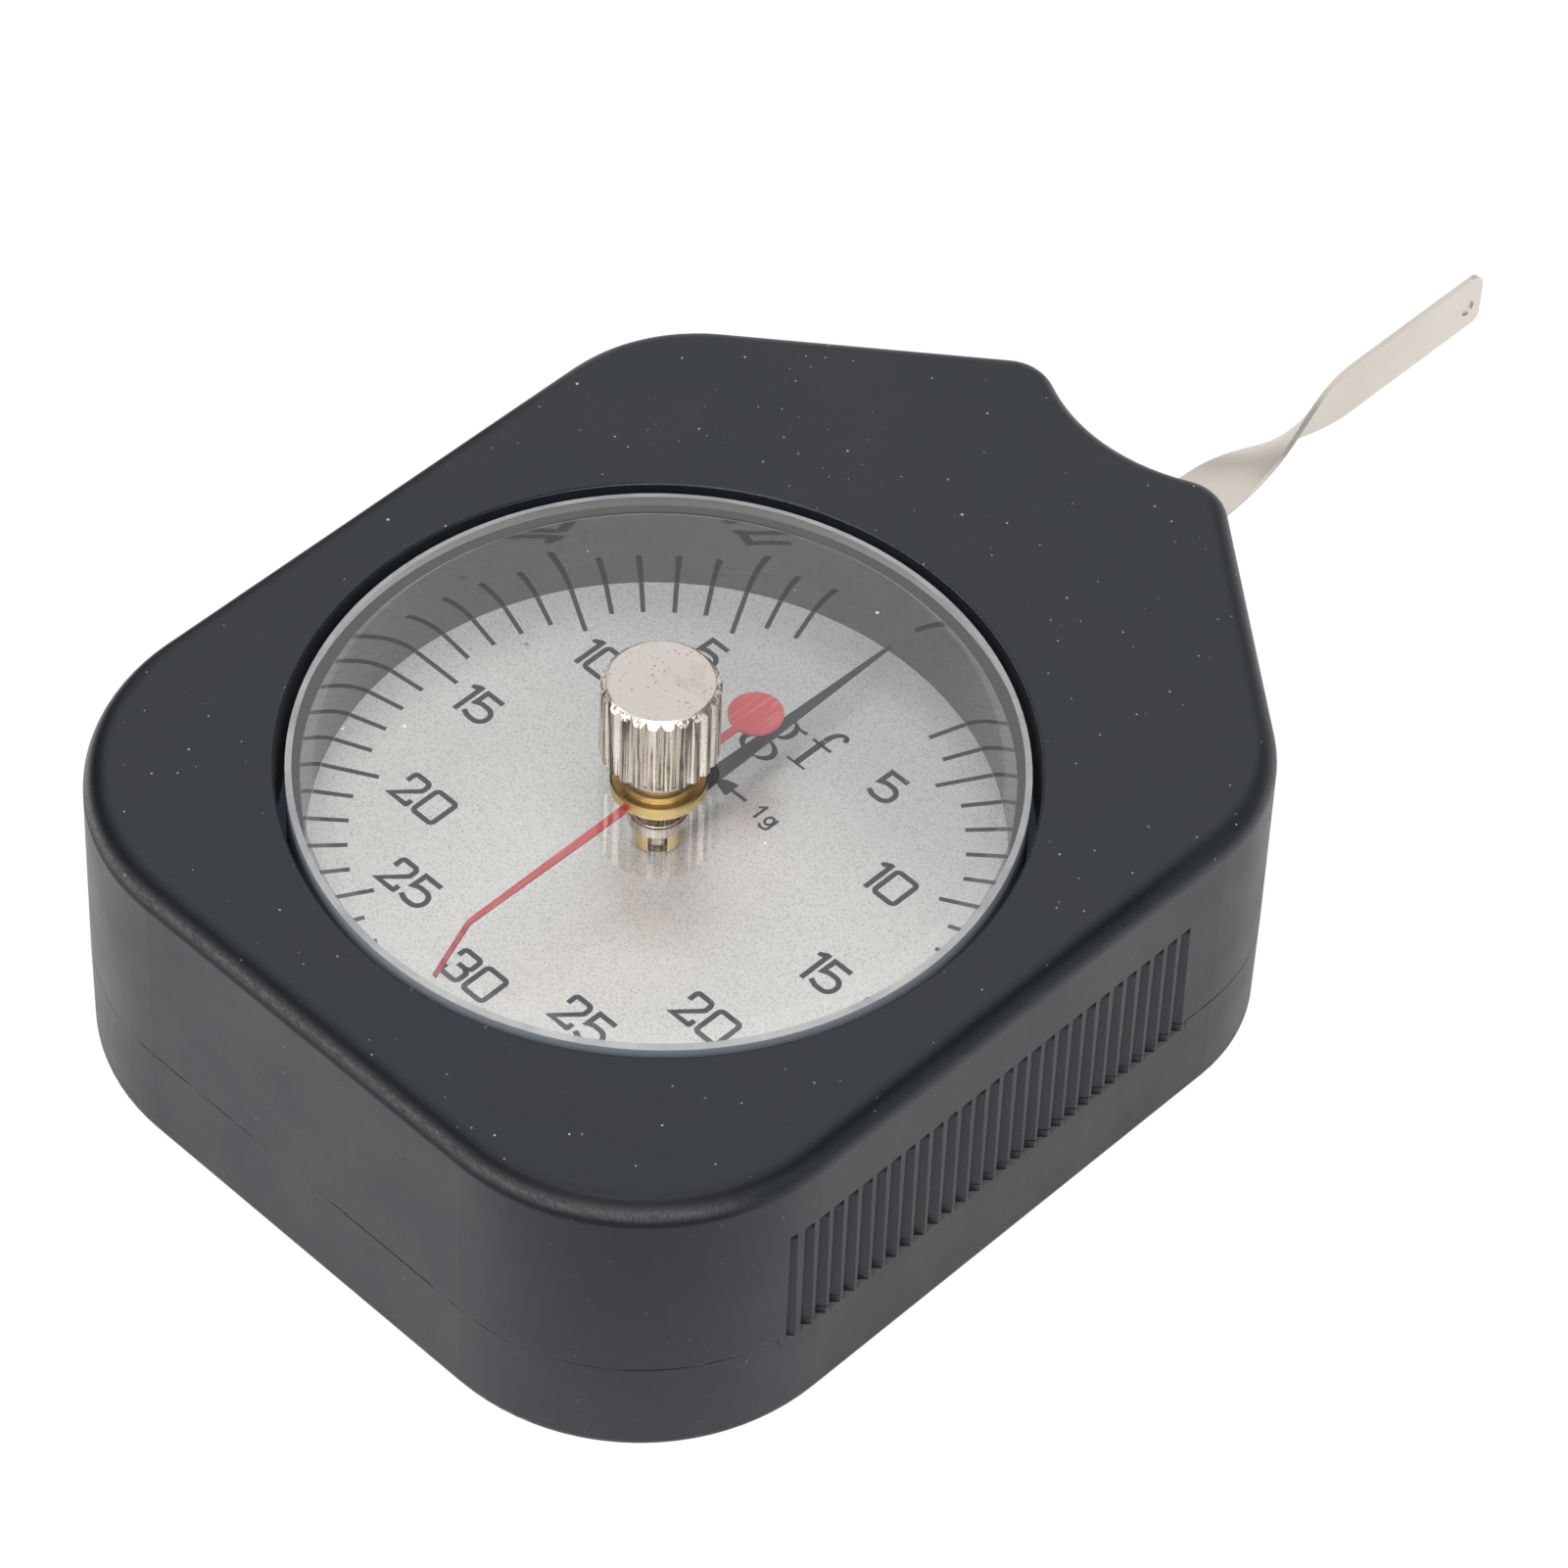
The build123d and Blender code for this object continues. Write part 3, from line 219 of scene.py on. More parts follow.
def makeAir():
    # dim air, the white paper rising behind the nose, and a wide band of light on the near side;
    # leans are how far a level direction turns towards the way, heights are those of the direction
    air = {
        "tint": (0.97, 0.98, 1.0), "shade": (0.14, 0.26),
        "paper": 0.75, "paperWay": (-0.68, 0.73, 0.0), "paperLean": (0.0, 0.5), "paperHeight": (0.10, 0.40),
        "band": 1.2, "bandWay": (0.677, -0.736, 0.0), "bandLean": (0.10, 0.32),
        "bandFoot": (0.34, 0.44), "bandTop": (0.72, 0.82),
    }
    world = bpy.data.worlds.new("studioAir")
    scene.world = world
    world.use_nodes = True
    tree = world.node_tree
    tree.nodes.clear()
    across, along, height = splitUp(tree, addNode(tree, "ShaderNodeTexCoord").outputs["Generated"])
    level = addNode(tree, "ShaderNodeCombineXYZ", {"X": across, "Y": along}).outputs[0]
    flat = addNode(tree, "ShaderNodeVectorMath", {0: level}, operation="NORMALIZE").outputs["Vector"]
    paper = times(tree, ranged(tree, alongWay(tree, flat, air["paperWay"]), *air["paperLean"], smooth=True),
                  ranged(tree, height, *air["paperHeight"], air["paper"], 0.0, smooth=True))
    band = times(tree, ranged(tree, alongWay(tree, flat, air["bandWay"]), *air["bandLean"], smooth=True),
                 ranged(tree, height, *air["bandFoot"], 0.0, air["band"], smooth=True),
                 ranged(tree, height, *air["bandTop"], 1.0, 0.0, smooth=True))
    shade = ranged(tree, height, 0.0, 1.0, *air["shade"])
    shade = calc(tree, "ADD", shade, calc(tree, "ADD", paper, band))
    around = addNode(tree, "ShaderNodeBackground", {
        "Color": (*air["tint"], 1.0), "Strength": shade}).outputs[0]
    white = addNode(tree, "ShaderNodeBackground", {
        "Color": (1.0, 1.0, 1.0, 1.0), "Strength": 1.0}).outputs[0]
    seen = addNode(tree, "ShaderNodeLightPath").outputs["Is Camera Ray"]
    addNode(tree, "ShaderNodeOutputWorld", {"Surface": blendShader(tree, seen, around, white)})


def makeFloor():
    # white paper that takes light and shadow, with a painted shadow on its near side, shown to the camera
    # nearly pure white
    look = {
        "radius": 1.6, "corners": 96, "drop": 0.05 * mm,
        "tone": (0.93, 0.93, 0.93), "frontShadeTone": (0.50, 0.50, 0.51),
        "frontWay": (0.677, -0.736, 0.0), "frontReach": (34 * mm, 62 * mm),
        "whiteShare": 0.93, "whiteGlow": 1.03,
    }
    mesh = bmesh.new()
    bmesh.ops.create_circle(mesh, cap_ends=True, segments=look["corners"], radius=look["radius"])
    data = bpy.data.meshes.new("studioFloor")
    mesh.to_mesh(data)
    mesh.free()
    floor = bpy.data.objects.new("studioFloor", data)
    floor.location.z = -look["drop"]
    scene.collection.objects.link(floor)
    material, tree = startMaterial("paleFloor")
    # painted shadow, darker paper on the near side
    ahead = alongWay(tree, objectPoint(tree), look["frontWay"])
    nearSide = ranged(tree, ahead, *look["frontReach"], smooth=True)
    tone = blendColour(tree, nearSide, look["tone"], look["frontShadeTone"])
    paper = addNode(tree, "ShaderNodeBsdfDiffuse", {"Color": tone}).outputs[0]
    white = addNode(tree, "ShaderNodeEmission", {
        "Color": (1.0, 1.0, 1.0, 1.0), "Strength": look["whiteGlow"]}).outputs[0]
    seen = addNode(tree, "ShaderNodeLightPath").outputs["Is Camera Ray"]
    shader = blendShader(tree, times(tree, seen, look["whiteShare"]), paper, white)
    data.materials.append(endMaterial(material, shader))


makeCamera()
makeSoftBoxes()
makeAir()
makeFloor()
scene.view_settings.view_transform = "Standard"
print("camera, light and floor made")


# In every finish a noise is its scale, detail and roughness, dots are their scale, size and share of
# the cells, a range is where a value starts and ends, and a bump is its strength and depth.


def makeCasePlastic():
    # slopes are the upward part of the face's direction, from 0 on a wall to 1 on the top
    look = {
        "base": (0.0072, 0.0092, 0.0130), "roughness": (0.38, 0.50), "bump": (0.5, 0.025 * mm),
        "ior": 1.5, "specular": 0.35, "sheen": 0.025,
        "mottle": (130.0, 5.0, 0.62), "mottleRange": (0.3, 0.7), "mottleGain": 1.35,
        "grain": (3400.0, 3.0, 0.6), "grainRange": (0.45, 0.75), "grainShare": 0.35, "grainGain": 1.9,
        "seam": (0.001, 0.001, 0.001), "seamHeight": 8.4 * mm, "seamHalfWidth": 0.10 * mm, "seamSharp": 0.4,
        "seamBreaks": (170.0, 3.0, 0.7), "seamBreakRange": (0.40, 0.56), "seamDepth": 6.0,
        "dust": (0.42, 0.42, 0.40), "dustSlopes": (0.2, 0.8), "dustOnWalls": 0.25,
        "dustDots": ((380.0, 0.050, 0.62), (850.0, 0.060, 0.75), (610.0, 0.055, 0.9)),
        "edgeFoot": 22.6 * mm, "nearWays": (-0.45, -0.25),
        "paintedEdgeHighlight": (0.085, 0.085, 0.082), "highlightRise": (0.26, 0.50), "highlightFall": (0.56, 0.80),
        "rub": (2600.0, 4.0, 0.7), "rubStretch": (1, 2.5, 1), "rubRange": (0.36, 0.64), "rubLeast": 0.2,
        "gripsFrom": 30.36 * mm, "gripsReach": 19.2 * mm, "gripsTop": 18.3 * mm, "gripsSlack": 0.05 * mm,
        "paintedLedgeLight": (0.10, 0.10, 0.10), "ledgeSlopes": (0.4, 0.8),
        "shadeBlack": (0.006, 0.007, 0.009),
        "turnRise": (0.62, 0.84), "turnFall": (0.90, 1.0), "turnDark": 0.72,
        "turnFade": (13 * mm, 24 * mm), "turnLeast": 0.12,
        "belowRise": (0.0, 0.12), "belowFall": (0.18, 0.36), "belowDark": 0.45,
        "capDrop": (0.75 * mm, 0.35 * mm), "capWays": (0.35, 0.55), "capDark": 0.8,
    }
    material, tree = startMaterial("casePlastic")
    point = objectPoint(tree)
    across, along, height = splitUp(tree, point)
    lean = splitUp(tree, addNode(tree, "ShaderNodeTexCoord").outputs["Normal"])
    mottle = noise(tree, point, *look["mottle"])
    grain = noise(tree, point, *look["grain"])
    mottled, grained = [[c * look[gain] for c in look["base"]] for gain in ("mottleGain", "grainGain")]
    tone = blendColour(tree, ranged(tree, mottle, *look["mottleRange"]), look["base"], mottled)
    tone = blendColour(tree, ranged(tree, grain, *look["grainRange"], 0.0, look["grainShare"]), tone, grained)

    # the parting line between the two shells, open in places
    away = calc(tree, "ABSOLUTE", calc(tree, "SUBTRACT", height, look["seamHeight"]))
    near = ranged(tree, away, look["seamHalfWidth"] * look["seamSharp"], look["seamHalfWidth"], 1.0, 0.0)
    broken = ranged(tree, noise(tree, point, *look["seamBreaks"]), *look["seamBreakRange"])
    seam = times(tree, near, broken)
    tone = blendColour(tree, seam, tone, look["seam"])

    # dust, which lies mostly on the top
    dust = most(tree, *[dots(tree, point, *kind) for kind in look["dustDots"]])
    lying = times(tree, dust, ranged(tree, lean[2], *look["dustSlopes"], look["dustOnWalls"], 1.0))
    tone = blendColour(tree, lying, tone, look["dust"])

    # painted highlight along the rounded edge of the near side, broken up like scuffs
    onEdge = calc(tree, "GREATER_THAN", height, look["edgeFoot"])
    nearSide = times(tree, onEdge, ranged(tree, lean[1], *look["nearWays"], 1.0, 0.0))
    rub = noise(tree, objectPoint(tree, look["rubStretch"]), *look["rub"])
    rubbed = ranged(tree, rub, *look["rubRange"], look["rubLeast"], 1.0)
    line = hump(tree, lean[2], look["highlightRise"], look["highlightFall"])
    tone = blendColour(tree, times(tree, line, nearSide, rubbed), tone, look["paintedEdgeHighlight"])

    # painted light on the upward ledges at the lower ends of the grip grooves
    atGrips = times(tree, calc(tree, "GREATER_THAN", calc(tree, "ABSOLUTE", across), look["gripsFrom"]),
                    calc(tree, "LESS_THAN", calc(tree, "ABSOLUTE", along), look["gripsReach"]),
                    calc(tree, "LESS_THAN", height, look["gripsTop"] + look["gripsSlack"]))
    paintedLedgeLight = times(tree, atGrips, ranged(tree, lean[2], *look["ledgeSlopes"]))
    tone = blendColour(tree, paintedLedgeLight, tone, look["paintedLedgeLight"])

    relief = calc(tree, "SUBTRACT", grain, times(tree, seam, look["seamDepth"]))
    plastic = addNode(tree, "ShaderNodeBsdfPrincipled", {
        "Base Color": tone,
        "Roughness": most(tree, ranged(tree, mottle, *look["mottleRange"], *look["roughness"]), seam),
        "IOR": look["ior"], "Specular IOR Level": look["specular"], "Sheen Weight": look["sheen"],
        "Normal": bump(tree, relief, *look["bump"])}).outputs[0]

    # painted shade, black where the top turns over and just below the painted edge highlight, and painted
    # shadow at the upper ends of the grooves
    turn = times(tree, hump(tree, lean[2], look["turnRise"], look["turnFall"]), onEdge, look["turnDark"],
                 ranged(tree, along, *look["turnFade"], 1.0, look["turnLeast"], smooth=True))
    below = times(tree, nearSide, ranged(tree, lean[2], *look["belowRise"]),
                  ranged(tree, lean[2], *look["belowFall"], look["belowDark"], 0.0))
    # painted shadow inside the grooves just below their upper ends
    cap = ranged(tree, height, *[look["gripsTop"] - drop for drop in look["capDrop"]])
    facingAlong = ranged(tree, calc(tree, "ABSOLUTE", lean[1]), *look["capWays"])
    cap = times(tree, cap, atGrips, times(tree, facingAlong, look["capDark"]))
    shadeBlack = matt(tree, look["shadeBlack"])
    return endMaterial(material, blendShader(tree, most(tree, turn, below, cap), plastic, shadeBlack))


def makeDialSilver():
    # fine silver grain, with painted shade a little darker towards the nose and painted shade in black where
    # the crystal's foot stands on it
    look = {
        "base": (1.0, 0.985, 0.95), "metal": 0.5, "roughness": (0.34, 0.46), "bump": (0.8, 0.018 * mm),
        "shade": (0.70, 0.685, 0.655), "grain": (6900.0, 2.5, 0.65), "grainRange": (0.37, 0.52),
        "sparkle": (1.0, 1.0, 0.98), "flakeScale": 6600.0, "sparkleRange": (0.66, 0.84),
        "farShade": (0.80, 0.81, 0.82), "farShadeReach": (1 * mm, 18 * mm),
        "spot": (0.12, 0.11, 0.10), "spotDots": (260.0, 0.05, 0.35),
        "footShade": (0.006, 0.006, 0.006), "openRadius": 23.41 * mm,
    }
    material, tree = startMaterial("dialSilver")
    point = objectPoint(tree)
    grain = noise(tree, point, *look["grain"])
    cells = addNode(tree, "ShaderNodeTexVoronoi", {"Vector": point, "Scale": look["flakeScale"]})
    flake = addNode(tree, "ShaderNodeSeparateColor", {"Color": cells.outputs["Color"]}).outputs[0]
    tone = blendColour(tree, ranged(tree, grain, *look["grainRange"]), look["shade"], look["base"])
    tone = blendColour(tree, ranged(tree, flake, *look["sparkleRange"]), tone, look["sparkle"])
    # painted shade, darker towards the nose
    ahead = ranged(tree, splitUp(tree, point)[1], *look["farShadeReach"], smooth=True)
    farShade = blendColour(tree, ahead, (1.0, 1.0, 1.0), look["farShade"])
    tone = blendColour(tree, 1.0, tone, farShade, "MULTIPLY")
    tone = blendColour(tree, dots(tree, point, *look["spotDots"]), tone, look["spot"])
    # painted shade, black under the crystal's foot
    covered = calc(tree, "GREATER_THAN", roundness(tree, point)[0], look["openRadius"])
    tone = blendColour(tree, covered, tone, look["footShade"])
    shader = addNode(tree, "ShaderNodeBsdfPrincipled", {
        "Base Color": tone, "Metallic": look["metal"],
        "Roughness": ranged(tree, flake, 0.0, 1.0, *look["roughness"]),
        "Normal": bump(tree, grain, *look["bump"])})
    return endMaterial(material, shader.outputs[0])


def makeCrystalClear():
    # clear over the dial; the bore of the skirt mirrors the scale, its back is painted black as shade, and
    # the bevel is painted grey in place of the light it bends and reflects; heights and radii say which of
    # these a face belongs to
    look = {
        "film": (0.968, 0.970, 0.970), "gloss": 0.0, "glossIor": 1.58, "pale": (0.8, 0.8, 0.78),
        "dustDots": ((330.0, 0.048, 0.6), (800.0, 0.05, 0.6)), "haze": 0.045, "hazeRadius": 22.75 * mm,
        "mirror": 0.09, "mirrorGain": 0.50, "mirrorPower": 2.0, "mirrorTint": (0.84, 0.875, 0.94),
        "mirrorBlur": 0.04, "line": 0.30, "lineDepth": 0.10 * mm,
        "outer": (0.17, 0.20, 0.25), "back": (0.0, 0.0, 0.0), "backShare": 0.25,
        "edgeFoot": 23.12 * mm, "edgeSight": (0.26, 0.58), "edgeLeast": 0.10,
        "bevel": (0.26, 0.27, 0.285), "bevelPale": (0.36, 0.36, 0.355), "bevelShare": 0.9,
        "bevelRoughness": 0.35, "bevelIor": 1.49, "bevelSpecular": 0.35,
        "smear": (300.0, 3.0, 0.6), "smearRange": (0.35, 0.65),
        "foot": 16.7 * mm, "under": 23.29 * mm, "wallTop": 24.2 * mm, "flatRadius": 24.15 * mm,
        "boreFoot": 23.43 * mm, "boreTop": 23.69 * mm, "boreSkin": 0.09 * mm,
    }
    material, tree = startMaterial("crystalClear")
    point = objectPoint(tree)
    radius, height = roundness(tree, point)
    isUpper = calc(tree, "GREATER_THAN", height, look["wallTop"])
    film = addNode(tree, "ShaderNodeBsdfTransparent", {"Color": (*look["film"], 1.0)}).outputs[0]
    pale = matt(tree, look["pale"])
    facing = addNode(tree, "ShaderNodeLayerWeight", {"Blend": 0.5}).outputs["Facing"]

    # top face with its gloss, dust, and a faint haze over the skirt
    fresnel = addNode(tree, "ShaderNodeFresnel", {"IOR": look["glossIor"]}).outputs[0]
    clear = blendShader(tree, times(tree, fresnel, isUpper), film, glossy(tree, (1, 1, 1), look["gloss"]))
    haze = times(tree, calc(tree, "GREATER_THAN", radius, look["hazeRadius"]), look["haze"])
    marks = most(tree, *[dots(tree, point, *kind) for kind in look["dustDots"]], haze)
    clear = blendShader(tree, times(tree, marks, isUpper), clear, pale)

    # bore of the skirt, which widens upwards, with a painted highlight, a pale line, along its top edge
    gain = times(tree, calc(tree, "POWER", facing, look["mirrorPower"]), look["mirrorGain"])
    mirror = glossy(tree, look["mirrorTint"], look["mirrorBlur"])
    bore = blendShader(tree, calc(tree, "ADD", gain, look["mirror"]), film, mirror)
    inLine = calc(tree, "GREATER_THAN", height, look["under"] - look["lineDepth"])
    bore = blendShader(tree, times(tree, inLine, look["line"]), bore, pale)

    # painted shade, black behind the bore and bluish dark on its outside, and painted light, paler at grazing
    # sight near the top of the outer wall seen from within
    inside = addNode(tree, "ShaderNodeNewGeometry").outputs["Backfacing"]
    shadeBlack = addNode(tree, "ShaderNodeBsdfDiffuse", {
        "Color": blendColour(tree, inside, look["outer"], look["back"])}).outputs[0]
    # painted light near the top of the outer wall
    lit = times(tree, calc(tree, "GREATER_THAN", height, look["edgeFoot"]),
                ranged(tree, facing, *look["edgeSight"], look["edgeLeast"], 1.0),
                ranged(tree, inside, 0.0, 1.0, look["backShare"], 1.0))
    back = blendShader(tree, lit, shadeBlack, pale)
    boreHere = ranged(tree, height, look["foot"], look["under"], look["boreFoot"], look["boreTop"])
    overBore = calc(tree, "GREATER_THAN", radius, boreHere)
    wall = blendShader(tree, overBore, bore, back)

    # bevel painted a nearly opaque grey with smears, in place of the light that the clear bevel bends and
    # reflects
    smear = ranged(tree, noise(tree, point, *look["smear"]), *look["smearRange"])
    paintedBevelLight = addNode(tree, "ShaderNodeBsdfPrincipled", {
        "Base Color": blendColour(tree, smear, look["bevel"], look["bevelPale"]),
        "Roughness": look["bevelRoughness"], "IOR": look["bevelIor"],
        "Specular IOR Level": look["bevelSpecular"]}).outputs[0]
    bevel = blendShader(tree, look["bevelShare"], film, paintedBevelLight)

    top = blendShader(tree, calc(tree, "GREATER_THAN", radius, look["flatRadius"]), clear, bevel)
    nearBore = calc(tree, "GREATER_THAN", radius, calc(tree, "SUBTRACT", boreHere, look["boreSkin"]))
    onBore = times(tree, nearBore, calc(tree, "LESS_THAN", height, look["under"]))
    isWall = times(tree, most(tree, onBore, overBore), calc(tree, "SUBTRACT", 1.0, isUpper))
    return endMaterial(material, blendShader(tree, isWall, top, wall))


def makeKnobNickel():
    # blurred, stained and pitted on top, with fine dark lines down the knurls
    look = {
        "topHeight": 32.0 * mm, "top": (0.525, 0.48, 0.45), "topRoughness": 0.33,
        "topStain": (0.45, 0.385, 0.325), "stain": (420.0, 5.0, 0.7), "stainRange": (0.54, 0.74),
        "patch": 0.11, "patchMiddle": (1.7 * mm, 1.3 * mm, 32.1 * mm), "patchReach": (0.7 * mm, 1.9 * mm),
        "pit": (0.20, 0.13, 0.08), "pitDots": (1250.0, 0.15, 0.7), "fineDots": (3100.0, 0.30, 0.60),
        "topPits": 0.75, "flutePits": 0.6,
        "flute": (0.77, 0.715, 0.645), "fluteRoughness": (0.24, 0.36), "roughRange": (0.3, 0.7),
        "line": (0.15, 0.115, 0.085), "lines": (5600.0, 1.5, 0.5), "lineStretch": (1, 1, 0.02),
        "lineRange": (0.50, 0.57), "bump": (0.6, 0.02 * mm),
        "worn": (900.0, 3.0, 0.6), "wornStretch": (1, 1, 0.35), "wornRange": (0.30, 0.60), "wornLeast": 0.45,
    }
    material, tree = startMaterial("knobNickel")
    point = objectPoint(tree)
    isTop = calc(tree, "GREATER_THAN", roundness(tree, point)[1], look["topHeight"])
    fine = dots(tree, point, *look["fineDots"])
    pits = most(tree, dots(tree, point, *look["pitDots"]), fine)

    away = addNode(tree, "ShaderNodeVectorMath", {0: point, 1: look["patchMiddle"]}, operation="DISTANCE")
    patch = ranged(tree, away.outputs["Value"], *look["patchReach"], look["patch"], 0.0)
    stained = calc(tree, "ADD", noise(tree, point, *look["stain"]), patch)
    top = blendColour(tree, ranged(tree, stained, *look["stainRange"]), look["top"], look["topStain"])
    top = blendColour(tree, times(tree, pits, look["topPits"]), top, look["pit"])

    lines = noise(tree, objectPoint(tree, look["lineStretch"]), *look["lines"])
    worn = noise(tree, objectPoint(tree, look["wornStretch"]), *look["worn"])
    dark = times(tree, ranged(tree, lines, *look["lineRange"]),
                 ranged(tree, worn, *look["wornRange"], look["wornLeast"], 1.0))
    flute = blendColour(tree, dark, look["flute"], look["line"])
    flute = blendColour(tree, times(tree, fine, look["flutePits"]), flute, look["pit"])
    fluteRough = ranged(tree, lines, *look["roughRange"], *look["fluteRoughness"])

    rough = addNode(tree, "ShaderNodeMix", {0: isTop, 2: fluteRough, 3: look["topRoughness"]}).outputs[0]
    shader = addNode(tree, "ShaderNodeBsdfPrincipled", {
        "Base Color": blendColour(tree, isTop, flute, top), "Metallic": 1.0, "Roughness": rough,
        "Normal": bump(tree, lines, *look["bump"])})
    return endMaterial(material, shader.outputs[0])


def makeMetal(name, own):
    # turned or rolled metal: two tones in its stain, pits, and a fine grain along one way or in rings
    look = {"stain": (350.0, 4.0, 0.6), "stainRange": (0.35, 0.68), "grain": (2600.0, 3.0, 0.6),
            "stretch": (1, 1, 1), "roughRange": (0.3, 0.7), "bump": (0.3, 0.01 * mm), **own}
    material, tree = startMaterial(name)
    point = objectPoint(tree)
    stain = ranged(tree, noise(tree, point, *look["stain"]), *look["stainRange"])
    brushed = noise(tree, objectPoint(tree, look["stretch"]), *look["grain"])
    tone = blendColour(tree, stain, look["base"], look["stained"])
    if "pit" in look:
        pits = most(tree, *[dots(tree, point, *kind) for kind in look["pitDots"]])
        tone = blendColour(tree, times(tree, pits, look["pitShare"]), tone, look["pit"])
    relief = brushed
    if "rings" in look:
        radius, height = roundness(tree, point)
        lathe = addNode(tree, "ShaderNodeCombineXYZ", {"X": radius, "Y": height}).outputs[0]
        relief = noise(tree, lathe, *look["rings"])
    shader = addNode(tree, "ShaderNodeBsdfPrincipled", {
        "Base Color": tone, "Metallic": 1.0,
        "Roughness": ranged(tree, brushed, *look["roughRange"], *look["roughness"]),
        "Normal": bump(tree, relief, *look["bump"])})
    return endMaterial(material, shader.outputs[0])


def makePaint(name, own):
    # brushed or printed colour in two tones, with a few worn dots
    look = {"stretch": (1, 1, 1), "turn": (0, 0, 0), "streakRange": (0.35, 0.68), "roughRange": (0.3, 0.7),
            "wearDots": (2400.0, 0.14, 0.2), "wearShare": 0.6, "skin": (6000.0, 2.0, 0.5),
            "bump": (0.2, 0.01 * mm), "shine": 0.5, **own}
    material, tree = startMaterial(name)
    point = objectPoint(tree)
    streak = noise(tree, objectPoint(tree, look["stretch"], look["turn"]), *look["streak"])
    tone = blendColour(tree, ranged(tree, streak, *look["streakRange"]), look["base"], look["streaked"])
    wear = times(tree, dots(tree, point, *look["wearDots"]), look["wearShare"])
    tone = blendColour(tree, wear, tone, look["wear"])
    shader = addNode(tree, "ShaderNodeBsdfPrincipled", {
        "Base Color": tone, "Roughness": ranged(tree, streak, *look["roughRange"], *look["roughness"]),
        "Specular IOR Level": look["shine"],
        "Normal": bump(tree, noise(tree, point, *look["skin"]), *look["bump"])})
    return endMaterial(material, shader.outputs[0])


metals = {
    "collar": {"base": (0.60, 0.56, 0.52), "stained": (0.32, 0.26, 0.22), "stain": (900.0, 4.0, 0.6),
               "pit": (0.2, 0.15, 0.12), "pitDots": ((1500.0, 0.16, 0.35), (3200.0, 0.2, 0.3)),
               "pitShare": 0.5, "roughness": (0.08, 0.18)},
    "turnedBrass": {"base": (0.90, 0.68, 0.34), "stained": (0.80, 0.55, 0.23), "rings": (5200.0, 3.0, 0.7),
                    "grain": (900.0, 3.0, 0.6), "roughness": (0.26, 0.36)},
    "brass": {"base": (0.64, 0.46, 0.19), "stained": (0.56, 0.38, 0.14), "roughness": (0.24, 0.4)},
    "steel": {"base": (0.50, 0.50, 0.50), "stained": (0.44, 0.44, 0.45), "roughness": (0.25, 0.42)},
    "darkSteel": {"base": (0.07, 0.058, 0.052), "stained": (0.045, 0.038, 0.036), "roughness": (0.22, 0.38)},
    "plate": {"base": (0.66, 0.66, 0.65), "stained": (0.58, 0.58, 0.58), "grain": (700.0, 3.0, 0.6),
              "stretch": (1, 12, 1), "roughness": (0.32, 0.46)},
    "bronze": {"base": (0.50, 0.31, 0.15), "stained": (0.42, 0.24, 0.11), "roughness": (0.22, 0.36)},
    "blade": {"base": (0.64, 0.59, 0.535), "stained": (0.59, 0.54, 0.48), "stain": (90.0, 4.0, 0.6),
              "grain": (4200.0, 3.0, 0.6), "stretch": (1, 0.05, 1), "roughness": (0.40, 0.52)},
}
paints = {
    "needle": {"base": (0.050, 0.055, 0.066), "streaked": (0.038, 0.042, 0.052), "streak": (700.0, 3.0, 0.6),
               "stretch": (1, 0.2, 1), "roughness": (0.34, 0.5), "wear": (0.2, 0.2, 0.21)},
    "redHand": {"base": (0.68, 0.103, 0.112), "streaked": (0.82, 0.24, 0.235), "streak": (1900.0, 3.0, 0.6),
                "stretch": (1, 0.10, 1), "turn": (0, 0, 0.35), "streakRange": (0.50, 0.68),
                "roughness": (0.28, 0.42), "wear": (0.68, 0.30, 0.28)},
    "print": {"base": (0.042, 0.046, 0.062), "streaked": (0.058, 0.060, 0.077), "streak": (3500.0, 3.0, 0.6),
              "roughness": (0.5, 0.65), "shine": 0.15, "wear": (0.28, 0.28, 0.29)},
}

finishes = {
    "case": makeCasePlastic(),
    "dial": makeDialSilver(),
    "crystal": makeCrystalClear(),
    "nickel": makeKnobNickel(),
    "polished_brass": makeMetal("turnedBrass", metals["turnedBrass"]),
    "brass": makeMetal("machinedBrass", metals["brass"]),
    "steel": makeMetal("plainSteel", metals["steel"]),
    "dark_steel": makeMetal("blackenedSteel", metals["darkSteel"]),
    "plate": makeMetal("machinedPlate", metals["plate"]),
    "bronze": makeMetal("springBronze", metals["bronze"]),
    "nickel_silver": makeMetal("bladeNickelSilver", metals["blade"]),
    "black_paint": makePaint("needlePaint", paints["needle"]),
    "red_paint": makePaint("coralPaint", paints["redHand"]),
}
collarFinish = makeMetal("collarNickel", metals["collar"])
printFinish = makePaint("dialPrint", paints["print"])

slotOf = {row["node"]: row["material_slot"] for row in frame["record"]["subparts"]}
for name, part in nodes.items():
    finish = collarFinish if name == "pointer_hub" else finishes[slotOf[name]]
    for index in range(len(part.data.materials)):
        part.material_slots[index].material = finish
print("finishes on", len(nodes), "nodes")


ink = {"above": 0.015 * mm, "below": 0.005 * mm}
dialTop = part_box("dial_plate")[1].z
inkTop, inkFoot = dialTop + ink["above"], dialTop - ink["below"]


